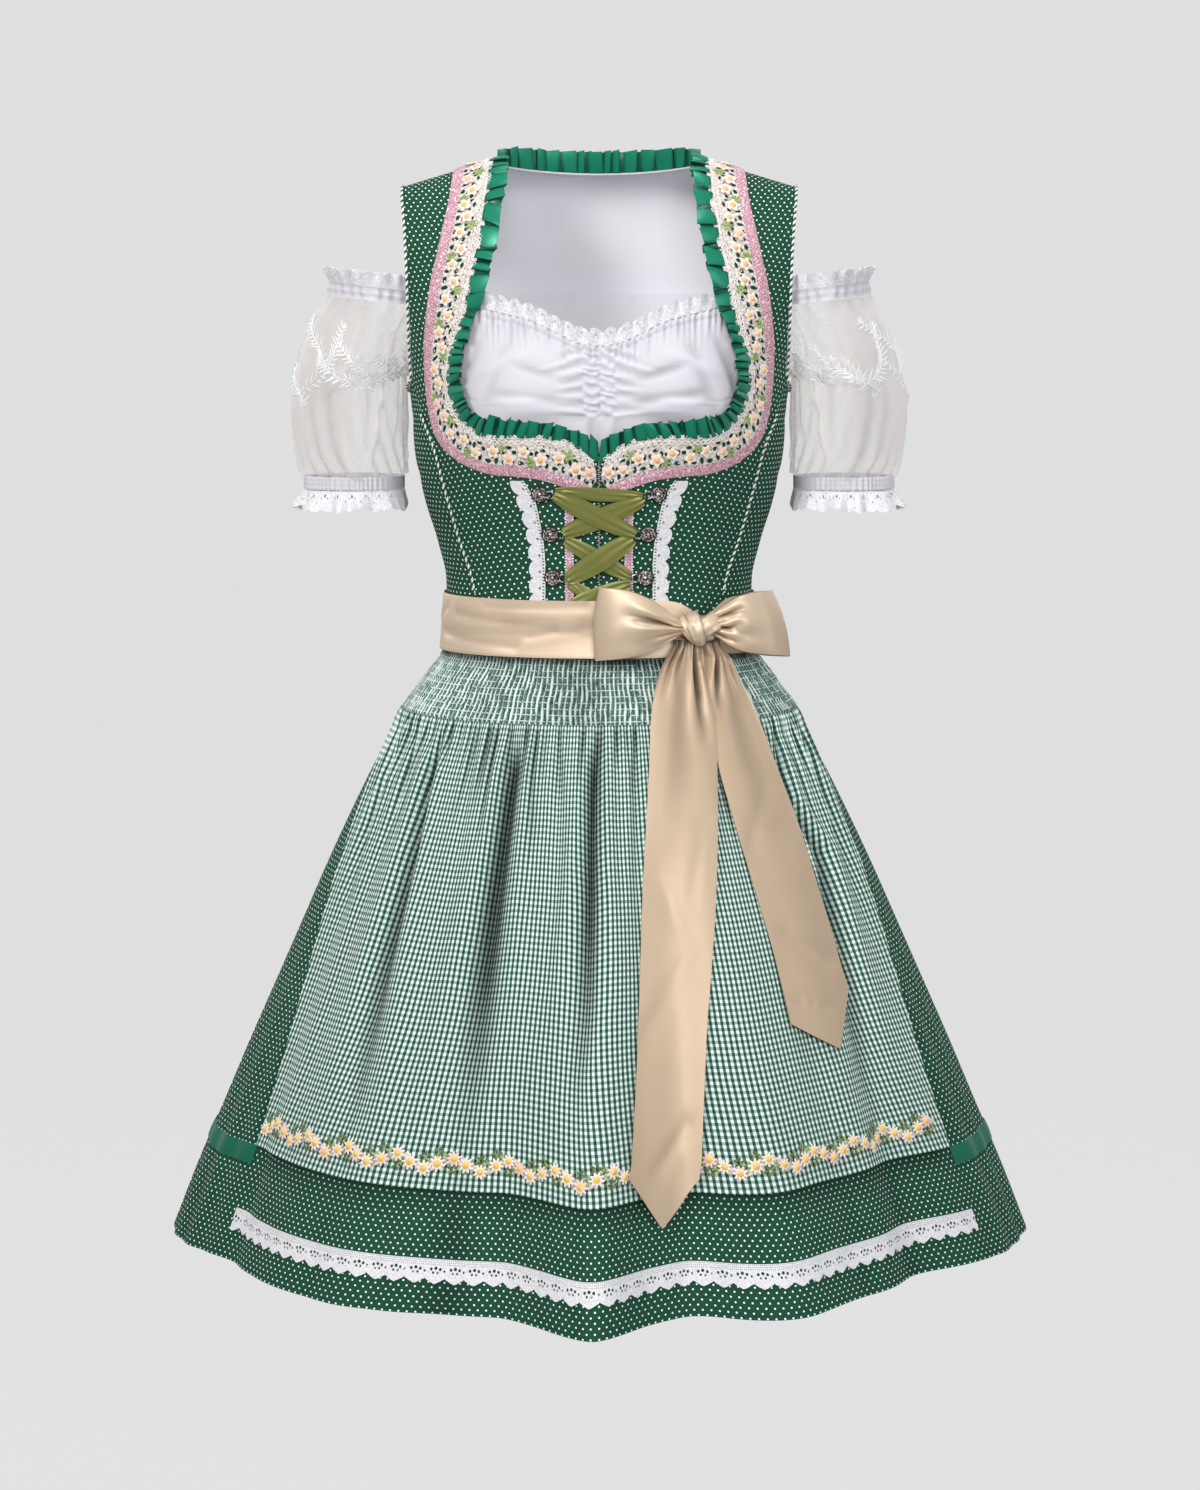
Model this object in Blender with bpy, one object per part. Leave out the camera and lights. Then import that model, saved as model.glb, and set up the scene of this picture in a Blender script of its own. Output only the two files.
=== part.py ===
"""Dirndl set: laced bodice with gathered skirt, apron with a ribbon belt and bow, and an
off-the-shoulder blouse with puff sleeves, standing in its worn, hollow form.

+Z is up, the front faces -Y, +X is the viewer's right. The origin lies midway between the
shoulder straps, level with the top of the neck ruffle. Tables and sizes are in millimetres,
angles in degrees; MM turns them into metres when a mesh is made.
Skirt angles run round the vertical axis: 0 at the centre front, +90 at the right side seam.
"""
import math

import bmesh
import bpy
from mathutils import Vector

MM = 0.001

# ---- driving sizes ---------------------------------------------------------------------
COTTON = 1.2          # wall of bodice, skirt, apron and belt
THIN = 1.0            # wall of blouse, trims and ribbons
RUFFLE_THICK = 2.0    # a gathered frill is a plain wall of its reach
SEAM = 0.4            # space left between two pieces sewn edge to edge
LAY = 0.7             # space under a trim that lies on a panel
SECTION_POWER = 2.2   # superellipse power of the torso's level sections

SHOULDER_TOP = -6.0   # height of the shoulder line at the neck
NECK_HALF = 88.0      # half the distance between the straps' neck edges
SHOULDER_SLOPE = 0.30
WAIST = -390.0
HEM = -914.0
APRON_HEM = -820.0
SMOCK_END = -463.5
BELT_TOP, BELT_END = -364.5, -412.5
ZIP_HALF = 9.0        # half width of the zip strip behind the open centre slot
ZIP_LEVELS = (-254, -290, -325, -358, -388)
BUST = (10.0, 72.0, -215.0, 45.0, 50.0)   # rise, distance from centre, height, spreads


class Table:
    """Rows of numbers under named columns, read by a smooth curve that never overshoots."""

    def __init__(self, columns, *rows):
        self.names = columns.split()
        self.rows = sorted(rows)

    def column(self, name):
        k = self.names.index(name)
        return [row[k] for row in self.rows]

    def at(self, key, name):
        xs, ys = [row[0] for row in self.rows], self.column(name)
        if key <= xs[0]:
            return ys[0]
        if key >= xs[-1]:
            return ys[-1]
        steps = [b - a for a, b in zip(xs, xs[1:])]
        rises = [(b - a) / h for a, b, h in zip(ys, ys[1:], steps)]
        slopes = [rises[0]] + [
            0.0 if p * q <= 0 else 2 * p * q / (p + q) for p, q in zip(rises, rises[1:])
        ] + [rises[-1]]
        i = max(k for k, x in enumerate(xs[:-1]) if x <= key)
        t, h = (key - xs[i]) / steps[i], steps[i]
        return ((2 * t ** 3 - 3 * t * t + 1) * ys[i] + (t ** 3 - 2 * t * t + t) * h * slopes[i]
                + (3 * t * t - 2 * t ** 3) * ys[i + 1] + (t ** 3 - t * t) * h * slopes[i + 1])


# Level sections of the bodice: height under the shoulder line, half width, depth to the
# front and to the back.
TORSO = Table(
    "level half_width front back",
    (0.0, 195, 0, 0), (-1.5, 194.5, 11, 25), (-3, 194, 16, 40), (-6, 193, 23, 58),
    (-12, 192, 33, 71), (-30, 188, 52, 86), (-60, 182, 76, 95), (-100, 172, 97, 99),
    (-140, 164, 110, 99), (-180, 158.5, 118, 97), (-210, 156.6, 119, 95),
    (-246, 154.3, 115, 92), (-288, 145.8, 106, 88), (-322, 135.5, 99, 85),
    (-356, 128.6, 95, 83), (-390, 128.4, 95, 84), (-430, 135, 100, 90))

# Level sections of the skirt.
SKIRT = Table(
    "z half_width front back power",
    (-390, 127.5, 94, 84, 2.15), (-414, 131, 99, 92, 2.15), (-440, 149, 114, 108, 2.1),
    (-475, 170.5, 134, 128, 2.05), (-509, 189.5, 150, 145, 2.0), (-543, 206.5, 164, 160, 1.95),
    (-595, 231, 184, 181, 1.9), (-647, 254, 203, 200, 1.87), (-699, 277, 221, 219, 1.84),
    (-751, 300, 238, 237, 1.81), (-804, 322.5, 254, 254, 1.78), (-857, 345.5, 269, 270, 1.76),
    (-914, 368, 284, 286, 1.75))
FOLD_TOP = -400.0
FOLD_GROWTH = 1.5
# Folds of the skirt: angle, spread to either side, how far it stands out at the hem.
FOLDS = ((-1.5, 7.5, 46), (26, 7, 24), (14.5, 4.5, -12), (-36, 11, 14), (-64, 9, -16),
         (53, 9, -22), (-15, 4, -6), (112, 9, 14), (134, 8, -16), (152, 9, 20),
         (178, 9, -12), (199, 10, 22), (222, 8, -14), (246, 10, 16))
FRONT_HALF = (3.5, 7, 11, 15.5, 20.5, 26, 32, 38, 44, 51, 58, 65, 74, 82, 90)
SKIRT_COLUMNS = tuple(-a for a in reversed(FRONT_HALF)) + (0,) + FRONT_HALF
SKIRT_ROWS = (-390.4, -414, -440, -475, -530, -620, -760, -914)
BACK_STEP = 7.5

# Stations of one bodice front, from the centre front along the neckline to the shoulder.
# ruffle: the ruffle's free edge; neck: the bodice's cut edge; rim: the trims' outer edge;
# edge: waist, princess seam and armhole. Each is x and z seen from the front.
STATIONS = Table(
    "station ruffle_x ruffle_z neck_x neck_z rim_x rim_z edge_x edge_z",
    (0, 2, -234, 2, -251, 2, -283, 2, -390),
    (1, 14, -226.5, 15, -240, 16, -276, 18, -390),
    (2, 29, -221.5, 31, -233, 32, -270, 34, -390),
    (3, 45, -219, 48, -230.5, 50, -265, 51, -390),
    (4, 60, -217, 65, -230.5, 67, -263, 67, -390),
    (5, 75, -215, 81, -231, 84, -262, 83, -390),
    (6, 88, -214.5, 95, -229, 103, -257, 97.5, -390),
    (7, 98, -211.5, 107, -221, 118, -249, 103, -352),
    (8, 104.5, -204.5, 115, -211, 128.5, -239, 115, -314),
    (9, 108, -196, 119.5, -200, 135, -227, 127, -270),
    (10, 109.5, -186, 121.5, -188, 138.5, -213, 134, -243),
    (11, 109.5, -176, 121.5, -177, 140.5, -199, 145, -215),
    (12, 108, -165, 119, -164, 142, -181, 154, -187),
    (13, 103, -149, 113, -149, 142.3, -160, 155.2, -160),
    (14, 96.5, -132, 108, -130, 140.5, -137, 155.6, -136),
    (15, 89.5, -107, 103, -106, 137, -110, 156.4, -108),
    (16, 81.5, -80, 97, -79, 131, -82, 158, -80),
    (17, 77, -53, 92.5, -52, 126, -58, 160, -57),
    (18, 74.5, -30, 90, -31, 122.5, -40, 161.8, -42),
    (19, 74, -15, 88.6, -15, 120.8, -25, 162.6, -33),
    (20, 74, -6, 88, -6, 120, -15.6, 163, -28.5))
LAST_STATION = 20     # at the shoulder seam
BRAID_GAP = 0.02      # share of the trims' width left between lace and braid
LACE_SHARE = 0.72     # part of the trims' width that is flower lace; the rest is pink braid
PRINCESS_START, PRINCESS_END = 6, 12
PRINCESS_STOP = 0.8  # the piping ends above the belt, this far between two stations
PIPING = 1.2

# Back panel: its side edge and its centre line, from the shoulder to the waist.
BACK = Table(
    "row edge_x edge_z centre_z",
    (0, 163, -28.5, -12), (1, 161, -50, -40), (2, 157, -88, -82), (3, 155.6, -125, -124),
    (4, 155, -158, -160), (5, 154, -186, -192), (6, 141, -226, -232), (7, 121, -270, -275),
    (8, 102, -315, -320), (9, 88, -353, -355), (10, 78, -390, -390))
BACK_SHARES = (0, 0.2, 0.39, 0.54, 0.70, 0.85, 1.0)
BACK_RUFFLE_HALF = 84.0
BACK_RUFFLE_RISE = (14.0, 11.0)   # at the centre back and at the straps
SIDE_BACK_ROW = 5     # row of BACK where the back princess seam meets the armhole
ARM_TURN, ARM_DROP, ARM_HALF, ARM_POWER = -130.0, 67.0, 45.0, 2.3  # armhole's lower half
SIDE_SPANS = 6

# Blouse: height of its front top edge, then its side edge and centre line. The side edge is
# the sleeve seam down to row 3 and the side seam below.
BLOUSE_TOP = Table("x z", (0, -156), (14, -154), (31, -147), (56, -136), (93, -127),
                   (125, -119), (146, -116))
BLOUSE = Table("row edge_x edge_z front_z back_z", (0, 146, -116, -156, -116),
               (1, 146, -128, -166, -128), (2, 147, -149, -184, -149),
               (3, 149, -169, -204, -169), (4, 158, -190, -226, -190),
               (5, 158, -244, -262, -244), (6, 158, -300, -300, -300))
BLOUSE_SEAM_ROWS = 4
BLOUSE_SHARES = (0, 0.14, 0.33, 0.55, 0.78, 1.0)
BLOUSE_INSET = {"front": 4.3, "back": 6.9}   # from the bodice's outer face
BLOUSE_HALF_GAP = 0.3
BLOUSE_HOLLOW = 3.0   # how much further in the blouse lies at the centre front
BLOUSE_LACE = 14.0    # height of the eyelet lace on the top edge
BLOUSE_LACE_HALF = 112.0
SLEEVE = Table(
    "row seam_x seam_z neck_x neck_y bulge_x bulge_y outer_x outer_z",
    (0, 146, -116, 157, 36, 192, 50, 224, -106),
    (1, 146, -128, 157, 36, 192, 51, 226.5, -118.5),
    (2, 147, -149, 157, 34, 196, 59, 240, -143),
    (3, 149, -169, 157, 26, 202, 63, 250, -170),
    (4, 152, -177.5, 158, 14, 207, 61, 255.5, -196),
    (5, 164, -182.5, 168, 19, 208, 58, 257, -215),
    (6, 164, -238, 168, 21, 208, 51.5, 252.5, -252),
    (7, 163.5, -266, 168, 19, 205, 45, 247.5, -266.5))
UNDERARM_ROW = 4
UNDERARM_GAP = 0.45
SLEEVE_STEPS = 2      # spans between two control points of a sleeve section
CUFF_TOP, CUFF_END, CUFF_FRILL_END = -267.2, -278.0, -294.5
CUFF_CENTRE, CUFF_RADIUS_X, CUFF_RADIUS_Y = 205.0, 42.5, 44.0
CUFF_SIDES = 14
SHOULDER_FRILL, FRILL_FLARE, SHOULDER_CENTRE = 11.0, 4.0, 190.0
CUFF_FLARE = 7.0

# Scalloped lace down each front, and the pink edging beside the centre.
SCALLOP = Table("z inner outer", (-266.5, 60.5, 71.5), (-283, 51.5, 65.5), (-301, 47.5, 60),
                (-320, 44.5, 56.5), (-337, 43.5, 55.5), (-371, 43.5, 55.5))
PINK_EDGE = Table("z inner outer", (-287, 21, 26.8), (-315, 21, 26.8), (-343, 21, 26.8),
                  (-371, 21, 26.8))

# Hooks: distance from the centre and height.
HOOKS = ((47.5, -277), (39.5, -310), (37.3, -346))
HOOK_RADIUS, HOOK_THICK = 6.2, 1.4
RING_OFFSET, RING_RADIUS, RING_WIRE, RING_SIDES = 8.4, 3.1, 0.65, 8

# Lacing: start x, z, end x, z, width in the middle, how far it lies off the bodice at the
# start, in the middle and at the end.
LACING = ((-35, -274.5, 35, -278.5, 8.5, 2.2, 2.2, 2.2),
          (-35, -279, 27, -310, 13.5, 3.6, 5.0, 5.0),
          (35, -283, -27, -310, 13, 3.6, 3.6, 2.2),
          (27, -313.5, -24.8, -346, 13.5, 3.6, 5.0, 3.6),
          (-27, -314, 24.8, -344, 11.5, 3.6, 2.2, 2.8),
          (24.8, -348, -21, -370, 11.5, 3.6, 4.0, 2.7),
          (-24.8, -350, 0, -363.5, 7.5, 2.8, 2.3, 2.2))
LACING_PINCH = 0.5    # share of a lacing's width that passes a ring
RIBBON_THICK = 0.8

# Bow, seen from the front: knot centre, then each loop's end.
KNOT = (82.0, -95.3, -388.0)
KNOT_SIZE = (15.0, 10.0, 12.5)
RIBBON_GATHER = 9.0   # half width of the ribbon where the knot gathers it
# Each loop: mouth x and z; end x, end top and bottom; y of its rear wall at the mouth,
# halfway and at the end; depth between its walls.
LOOPS = {"bow_loop_left": (66.8, -386.0, -3.5, -352.0, -411.5, (-98.0, -104.5, -106.5), 17),
         "bow_loop_right": (97.2, -387.5, 151.0, -357.5, -408.0, (-95.0, -82.0, -64.0), 16)}
TAIL_LONG = Table("z left right lift", (-403.5, 68, 85, 6.6), (-430, 55, 94, 6.4),
                  (-465, 44, 97, 6.2), (-500, 39, 94.5, 6), (-560, 34, 93.5, 5),
                  (-650, 31, 90, 5), (-740, 28.5, 85.5, 6), (-800, 26, 83, 6.6))
TAIL_LONG_END = ((0.0, 25.5, -826), (0.42, 51, -848), (1.0, 82, -822))
TAIL_RIGHT = Table("z left right lift", (-403.5, 77, 94, 5.2), (-430, 79, 107, 4.4),
                   (-470, 87, 128, 4), (-520, 101, 152, 4), (-580, 119, 176, 4),
                   (-640, 138, 199, 4))
TAIL_RIGHT_END = ((0.0, 165, -722), (0.6, 194, -741), (1.0, 214.5, -700))
TAIL_COLUMNS = (0, 0.21, 0.42, 0.6, 0.8, 1.0)

APRON_EDGE = Table("z angle", (-391.5, 90), (-463.5, 90), (-480, 82), (-510, 77), (-545, 74),
                   (-600, 71), (-680, 67), (-760, 65), (-820, 64.5))
APRON_LAST_COLUMN = 58
HEM_LACE = (-872.0, -890.5)
HEM_LACE_ANGLE = 65
FLOWERS = (-790.0, -810.5)
FLOWER_ANGLE = 62.5
SIDE_RIBBON = (-820.0, -835.5)
SIDE_RIBBON_ANGLE = 65
APRON_EDGE_LIFT = 2.2  # how much further the apron stands off the skirt at its side edges

COLOURS = {  # red, green, blue, roughness, metallic
    "dotted": (0.03, 0.16, 0.09, 0.8, 0), "gingham": (0.20, 0.42, 0.33, 0.8, 0),
    "emerald": (0.01, 0.28, 0.15, 0.4, 0), "white": (0.85, 0.85, 0.87, 0.8, 0),
    "cream": (0.75, 0.66, 0.55, 0.85, 0), "pink": (0.72, 0.36, 0.45, 0.8, 0),
    "olive": (0.23, 0.25, 0.05, 0.4, 0), "champagne": (0.62, 0.45, 0.30, 0.35, 0),
    "silver": (0.25, 0.23, 0.21, 0.45, 1), "organza": (0.82, 0.82, 0.84, 0.6, 0),
}


# ---- forms -----------------------------------------------------------------------------
def smooth(low, high, x):
    """0 at low and 1 at high, whichever of the two is larger."""
    t = max(0.0, min(1.0, (x - low) / (high - low)))
    return t * t * (3 - 2 * t)


def blend(a, b, t):
    return a + (b - a) * t


def shoulder_drop(x):
    return SHOULDER_SLOPE * max(0.0, abs(x) - NECK_HALF) - SHOULDER_TOP


def level_at(x, z):
    """Height under the shoulder line; the line's slope fades out towards the bust."""
    return min(0.0, z + shoulder_drop(x) * smooth(-200, -80, z))


def torso(x, z, front=True):
    """Point of the bodice's outer face with this x and z."""
    level = level_at(x, z)
    share = min(1.0, abs(x) / TORSO.at(level, "half_width"))
    depth = TORSO.at(level, "front" if front else "back")
    y = depth * (1 - share ** SECTION_POWER) ** (1 / SECTION_POWER)
    if front:
        rise, apart, height, wide, tall = BUST
        y += rise * (1 - share ** 6) * math.exp(
            -((abs(x) - apart) / wide) ** 2 - ((z - height) / tall) ** 2)
    return Vector((x, -y if front else y, z))


def torso_turn(turn, z, x_side):
    """Point of the outer face at an angle from the side: -90 front, 0 side, 90 back."""
    c, s = math.cos(math.radians(turn)), math.sin(math.radians(turn))
    x = TORSO.at(level_at(150, z), "half_width") * c ** (2 / SECTION_POWER)
    point = torso(x, z, front=turn < 0)
    if abs(turn) < 1e-6:
        point.y = 0.0
    return Vector((x * x_side, point.y, z))


def turn_of(x, z, front):
    """Angle from the side of the outer face's point with this x and z."""
    share = min(1.0, x / TORSO.at(level_at(150, z), "half_width"))
    turn = math.degrees(math.acos(share ** (SECTION_POWER / 2)))
    return -turn if front else turn


def skirt(angle, z):
    """Point of the skirt's outer face."""
    grown = max(0.0, min(1.0, (FOLD_TOP - z) / (FOLD_TOP - HEM))) ** FOLD_GROWTH
    s, c = math.sin(math.radians(angle)), math.cos(math.radians(angle))
    half_width = SKIRT.at(z, "half_width")
    depth = SKIRT.at(z, "front" if c > 0 else "back")
    power = 2 / SKIRT.at(z, "power")
    x = half_width * math.copysign(abs(s) ** power, s)
    y = -depth * math.copysign(abs(c) ** power, c)
    out = 0.0
    for at, spread, gain in FOLDS:
        away = (angle - at + 180) % 360 - 180
        out += gain * grown * math.exp(-(away / spread) ** 2)
    scale = 1 + out / math.hypot(x, y)
    return Vector((x * scale, y * scale, z))


def skirt_angle(x, z):
    """Angle on the skirt's front half of the point with this x."""
    low, high = -90.0, 90.0
    for _ in range(40):
        middle = (low + high) / 2
        if skirt(middle, z).x < x:
            low = middle
        else:
            high = middle
    return (low + high) / 2


def through(points, steps):
    """Smooth curve through points, with the given number of spans between two of them."""
    padded = [2 * points[0] - points[1]] + points + [2 * points[-1] - points[-2]]
    curve = []
    for a, b, c, d in zip(padded, padded[1:], padded[2:], padded[3:]):
        for k in range(steps):
            t = k / steps
            curve.append(0.5 * (2 * b + (c - a) * t + (2 * a - 5 * b + 4 * c - d) * t * t
                                + (3 * b - a - 3 * c + d) * t ** 3))
    return curve + [points[-1]]


# ---- meshes ----------------------------------------------------------------------------
def material(name):
    found = bpy.data.materials.get(name)
    if found:
        return found
    red, green, blue, roughness, metallic = COLOURS[name]
    made = bpy.data.materials.new(name)
    made.use_nodes = True
    shader = made.node_tree.nodes["Principled BSDF"]
    shader.inputs["Base Color"].default_value = (red, green, blue, 1)
    shader.inputs["Roughness"].default_value = roughness
    shader.inputs["Metallic"].default_value = metallic
    return made


def finish(name, mesh_data, colour):
    """Turn a bmesh in millimetres into a named object in metres."""
    bmesh.ops.scale(mesh_data, vec=(MM, MM, MM), verts=mesh_data.verts)
    bmesh.ops.recalc_face_normals(mesh_data, faces=mesh_data.faces)
    mesh = bpy.data.meshes.new(name)
    mesh_data.to_mesh(mesh)
    mesh_data.free()
    mesh.shade_smooth()
    mesh.set_sharp_from_angle(angle=math.radians(40))
    mesh.materials.append(material(colour))
    made = bpy.data.objects.new(name, mesh)
    bpy.context.collection.objects.link(made)
    return made


def grid_normals(grid, closed):
    """Unit normal at each grid point, from its neighbours."""
    rows, columns = len(grid), len(grid[0])
    normals = []
    for j in range(rows):
        line = []
        for i in range(columns):
            if closed:
                along = grid[j][(i + 1) % columns] - grid[j][i - 1]
            else:
                along = grid[j][min(i + 1, columns - 1)] - grid[j][max(i - 1, 0)]
            across = grid[min(j + 1, rows - 1)][i] - grid[max(j - 1, 0)][i]
            line.append(along.cross(across).normalized())
        normals.append(line)
    return normals


def cloth(name, grid, colour, thick, lift=0.0, closed=False, normals=None):
    """Wall on a grid of points: its inner face lies lift above the grid, along the normals.

    Rows run so that along x across points out of the cloth. lift may be one number or a
    function of the grid's row and column."""
    normals = normals or grid_normals(grid, closed)
    height = lift if callable(lift) else (lambda j, i: lift)
    rows, columns = len(grid), len(grid[0])
    mesh_data = bmesh.new()
    faces = []
    for add in (0.0, thick):
        faces.append([[mesh_data.verts.new(grid[j][i] + normals[j][i] * (height(j, i) + add))
                       for i in range(columns)] for j in range(rows)])
    inner, outer = faces
    spans = range(columns if closed else columns - 1)
    for j in range(rows - 1):
        for i in spans:
            k = (i + 1) % columns
            mesh_data.faces.new((outer[j][i], outer[j][k], outer[j + 1][k], outer[j + 1][i]))
            mesh_data.faces.new((inner[j][i], inner[j + 1][i], inner[j + 1][k], inner[j][k]))
    for i in spans:
        k = (i + 1) % columns
        mesh_data.faces.new((inner[0][i], inner[0][k], outer[0][k], outer[0][i]))
        mesh_data.faces.new((outer[-1][i], outer[-1][k], inner[-1][k], inner[-1][i]))
    if not closed:
        for j in range(rows - 1):
            mesh_data.faces.new((outer[j][0], outer[j + 1][0], inner[j + 1][0], inner[j][0]))
            mesh_data.faces.new((inner[j][-1], inner[j + 1][-1], outer[j + 1][-1], outer[j][-1]))
    return finish(name, mesh_data, colour)


def cord(name, route, radius, colour, sides=5):
    """Round cord along a list of points."""
    mesh_data = bmesh.new()
    rings = []
    for k, point in enumerate(route):
        ahead = route[min(k + 1, len(route) - 1)] - route[max(k - 1, 0)]
        side = ahead.cross(Vector((0.2, -1.0, 0.1))).normalized()
        up = side.cross(ahead).normalized()
        rings.append([mesh_data.verts.new(
            point + radius * (math.cos(a) * side + math.sin(a) * up))
            for a in (2 * math.pi * n / sides for n in range(sides))])
    for low, high in zip(rings, rings[1:]):
        for n in range(sides):
            m = (n + 1) % sides
            mesh_data.faces.new((low[n], low[m], high[m], high[n]))
    mesh_data.faces.new(rings[0])
    mesh_data.faces.new(rings[-1])
    return finish(name, mesh_data, colour)


def mirrored(grid):
    """The grid on the other side of the centre, with its rows still pointing outward."""
    return [[Vector((-p.x, p.y, p.z)) for p in reversed(row)] for row in grid]


def both_sides(name, grid, colour, thick, lift=0.0, normals_of=None):
    """A right and a left piece, mirror images; lift is a number."""
    for side, points in (("_right", grid), ("_left", mirrored(grid))):
        normals = normals_of(points) if normals_of else None
        cloth(name + side, points, colour, thick, lift, normals=normals)


# ---- bodice ----------------------------------------------------------------------------
def station_line(x_name, z_name):
    """Points of one column of STATIONS on the front face."""
    line = []
    for k in range(LAST_STATION + 1):
        point = torso(STATIONS.at(k, x_name), STATIONS.at(k, z_name))
        if k == LAST_STATION:
            point.y = 0.0
        point.y -= SEAM
        line.append(point)
    return line


def between(line_a, line_b, share):
    """Points between two lines, laid back onto the front face."""
    line = []
    for a, b in zip(line_a, line_b):
        x, z = blend(a.x, b.x, share), blend(a.z, b.z, share)
        point = torso(x, z)
        point.y -= SEAM
        line.append(point)
    line[-1].y = -SEAM
    return line


def front_lines():
    neck = station_line("neck_x", "neck_z")
    rim = station_line("rim_x", "rim_z")
    edge = station_line("edge_x", "edge_z")
    return neck, rim, edge


def fullness(point):
    """1 on the bodice's outer face, less inside it and more outside."""
    level = level_at(point.x, point.z)
    front = point.y < 0
    depth = max(1.0, TORSO.at(level, "front" if front else "back"))
    share = abs(point.x) / TORSO.at(level, "half_width")
    return share ** SECTION_POWER + (abs(point.y) / depth) ** SECTION_POWER


def form_normal(point):
    """Outward normal of the torso's form."""
    step = 0.4
    slopes = []
    for axis in range(3):
        move = Vector([step if axis == k else 0.0 for k in range(3)])
        slopes.append(fullness(point + move) - fullness(point - move))
    return Vector(slopes).normalized()


def form_normals(grid):
    return [[form_normal(point) for point in row] for row in grid]


def at_shoulder(point):
    return abs(point.y) < 1.0 and point.z > -40


def seam_normals(grid):
    """The form's normals, turned upright along the shoulder seam."""
    normals = form_normals(grid)
    for row, line in zip(grid, normals):
        for point, normal in zip(row, line):
            if at_shoulder(point):
                normal.xyz = Vector((math.copysign(SHOULDER_SLOPE, point.x), 0, 1)).normalized()
    return normals


def bodice_fronts():
    neck, rim, edge = front_lines()
    lines = [edge] + [between(edge, rim, s) for s in (0.35, 0.69)]
    lines += [rim, between(neck, rim, LACE_SHARE), neck]
    both_sides("bodice_front", lines, "dotted", COTTON, -COTTON, seam_normals)


def neck_trims():
    neck, rim, edge = front_lines()
    middle = between(neck, rim, LACE_SHARE)
    inner = between(neck, rim, LACE_SHARE + BRAID_GAP)
    both_sides("flower_lace", [middle, neck], "cream", THIN, LAY, seam_normals)
    both_sides("pink_braid", [rim, inner], "pink", THIN, LAY, seam_normals)


def neck_ruffles():
    base, free = station_line("neck_x", "neck_z"), station_line("ruffle_x", "ruffle_z")
    start = [a + (b - a).normalized() * 0.6 for a, b in zip(base, free)]
    both_sides("neck_ruffle", [start, free], "emerald", RUFFLE_THICK, -RUFFLE_THICK / 2,
               seam_normals)


def back_top(x):
    """Height of the back neckline, then of the shoulder line."""
    if abs(x) <= NECK_HALF:
        return blend(-12.0, SHOULDER_TOP, (abs(x) / NECK_HALF) ** 2)
    return -shoulder_drop(x)


def back_grid():
    rows = []
    for row in range(len(BACK.rows)):
        edge_x, edge_z = BACK.at(row, "edge_x"), BACK.at(row, "edge_z")
        centre_z = BACK.at(row, "centre_z")
        line = []
        for share in [-s for s in reversed(BACK_SHARES[1:])] + list(BACK_SHARES):
            x = share * edge_x
            z = back_top(x) if row == 0 else blend(centre_z, edge_z, abs(share) ** 2)
            point = torso(x, z, front=False)
            if row == 0 and abs(x) >= NECK_HALF - 1:
                point.y = 0.0
            point.y += SEAM
            line.append(point)
        rows.append(line)
    return rows


def bodice_back():
    grid = [list(reversed(row)) for row in back_grid()]
    normals = seam_normals(grid)
    cloth("bodice_back", grid, "dotted", COTTON, -COTTON, normals=normals)
    inner = slice(1, -1)
    cloth("back_lining", [row[inner] for row in grid[:-1]], "white", THIN,
          -COTTON - LAY - THIN, normals=[line[inner] for line in normals[:-1]])


def back_ruffle():
    """Frill that stands up from the back neckline, between the two straps."""
    base, free = [], []
    for n in range(-6, 7):
        x = BACK_RUFFLE_HALF * n / 6
        point = torso(x, back_top(x), front=False)
        base.append(Vector((x, point.y, point.z + 0.7)))
        rise = blend(BACK_RUFFLE_RISE[0], BACK_RUFFLE_RISE[1], (n / 6) ** 2)
        free.append(Vector((x, point.y - 2.0 * (1 - abs(n) / 6), point.z + rise)))
    grid = [list(reversed(free)), list(reversed(base))]
    cloth("neck_ruffle_back", grid, "emerald", RUFFLE_THICK, -RUFFLE_THICK)


def armhole_height(y):
    """Height of the armhole's lower half this far from the side seam."""
    reach = min(1.0, abs(y) / ARM_HALF)
    return ARM_TURN - ARM_DROP * (1 - reach ** ARM_POWER) ** (1 / ARM_POWER)


def bodice_sides():
    rows = []
    for k in range(PRINCESS_START, PRINCESS_END + 1):
        share = (k - PRINCESS_START) / (PRINCESS_END - PRINCESS_START)
        row = blend(len(BACK.rows) - 1, SIDE_BACK_ROW, share)
        front = (STATIONS.at(k, "edge_x"), STATIONS.at(k, "edge_z"))
        back = (BACK.at(row, "edge_x"), BACK.at(row, "edge_z"))
        turns = turn_of(*front, True), turn_of(*back, False)
        line = []
        for n in range(SIDE_SPANS + 1):
            t = n / SIDE_SPANS
            turn, z = blend(*turns, t), blend(front[1], back[1], t)
            point = torso_turn(turn, z, 1)
            if k == PRINCESS_END and 0 < n < SIDE_SPANS:
                point.z = armhole_height(point.y)
            line.append(point)
        rows.append(line)
    for line in rows:
        line[0] += (line[1] - line[0]).normalized() * 3 * SEAM
        line[-1] += (line[-2] - line[-1]).normalized() * 3 * SEAM
    both_sides("bodice_side", list(reversed(rows)), "dotted", COTTON, -COTTON, form_normals)


# ---- skirt and apron -------------------------------------------------------------------
def skirt_grid(angles, rows):
    return [[skirt(angle, z) for angle in reversed(angles)] for z in rows]


def skirt_panels():
    cloth("skirt_front", skirt_grid(SKIRT_COLUMNS, SKIRT_ROWS), "dotted", COTTON, -COTTON)
    cloth("skirt_back", skirt_grid(back_angles(), SKIRT_ROWS), "dotted", COTTON, -COTTON)


def back_angles():
    count = int(180 / BACK_STEP)
    return [90.25 + (179.5 * n / count) for n in range(count + 1)]


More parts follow.
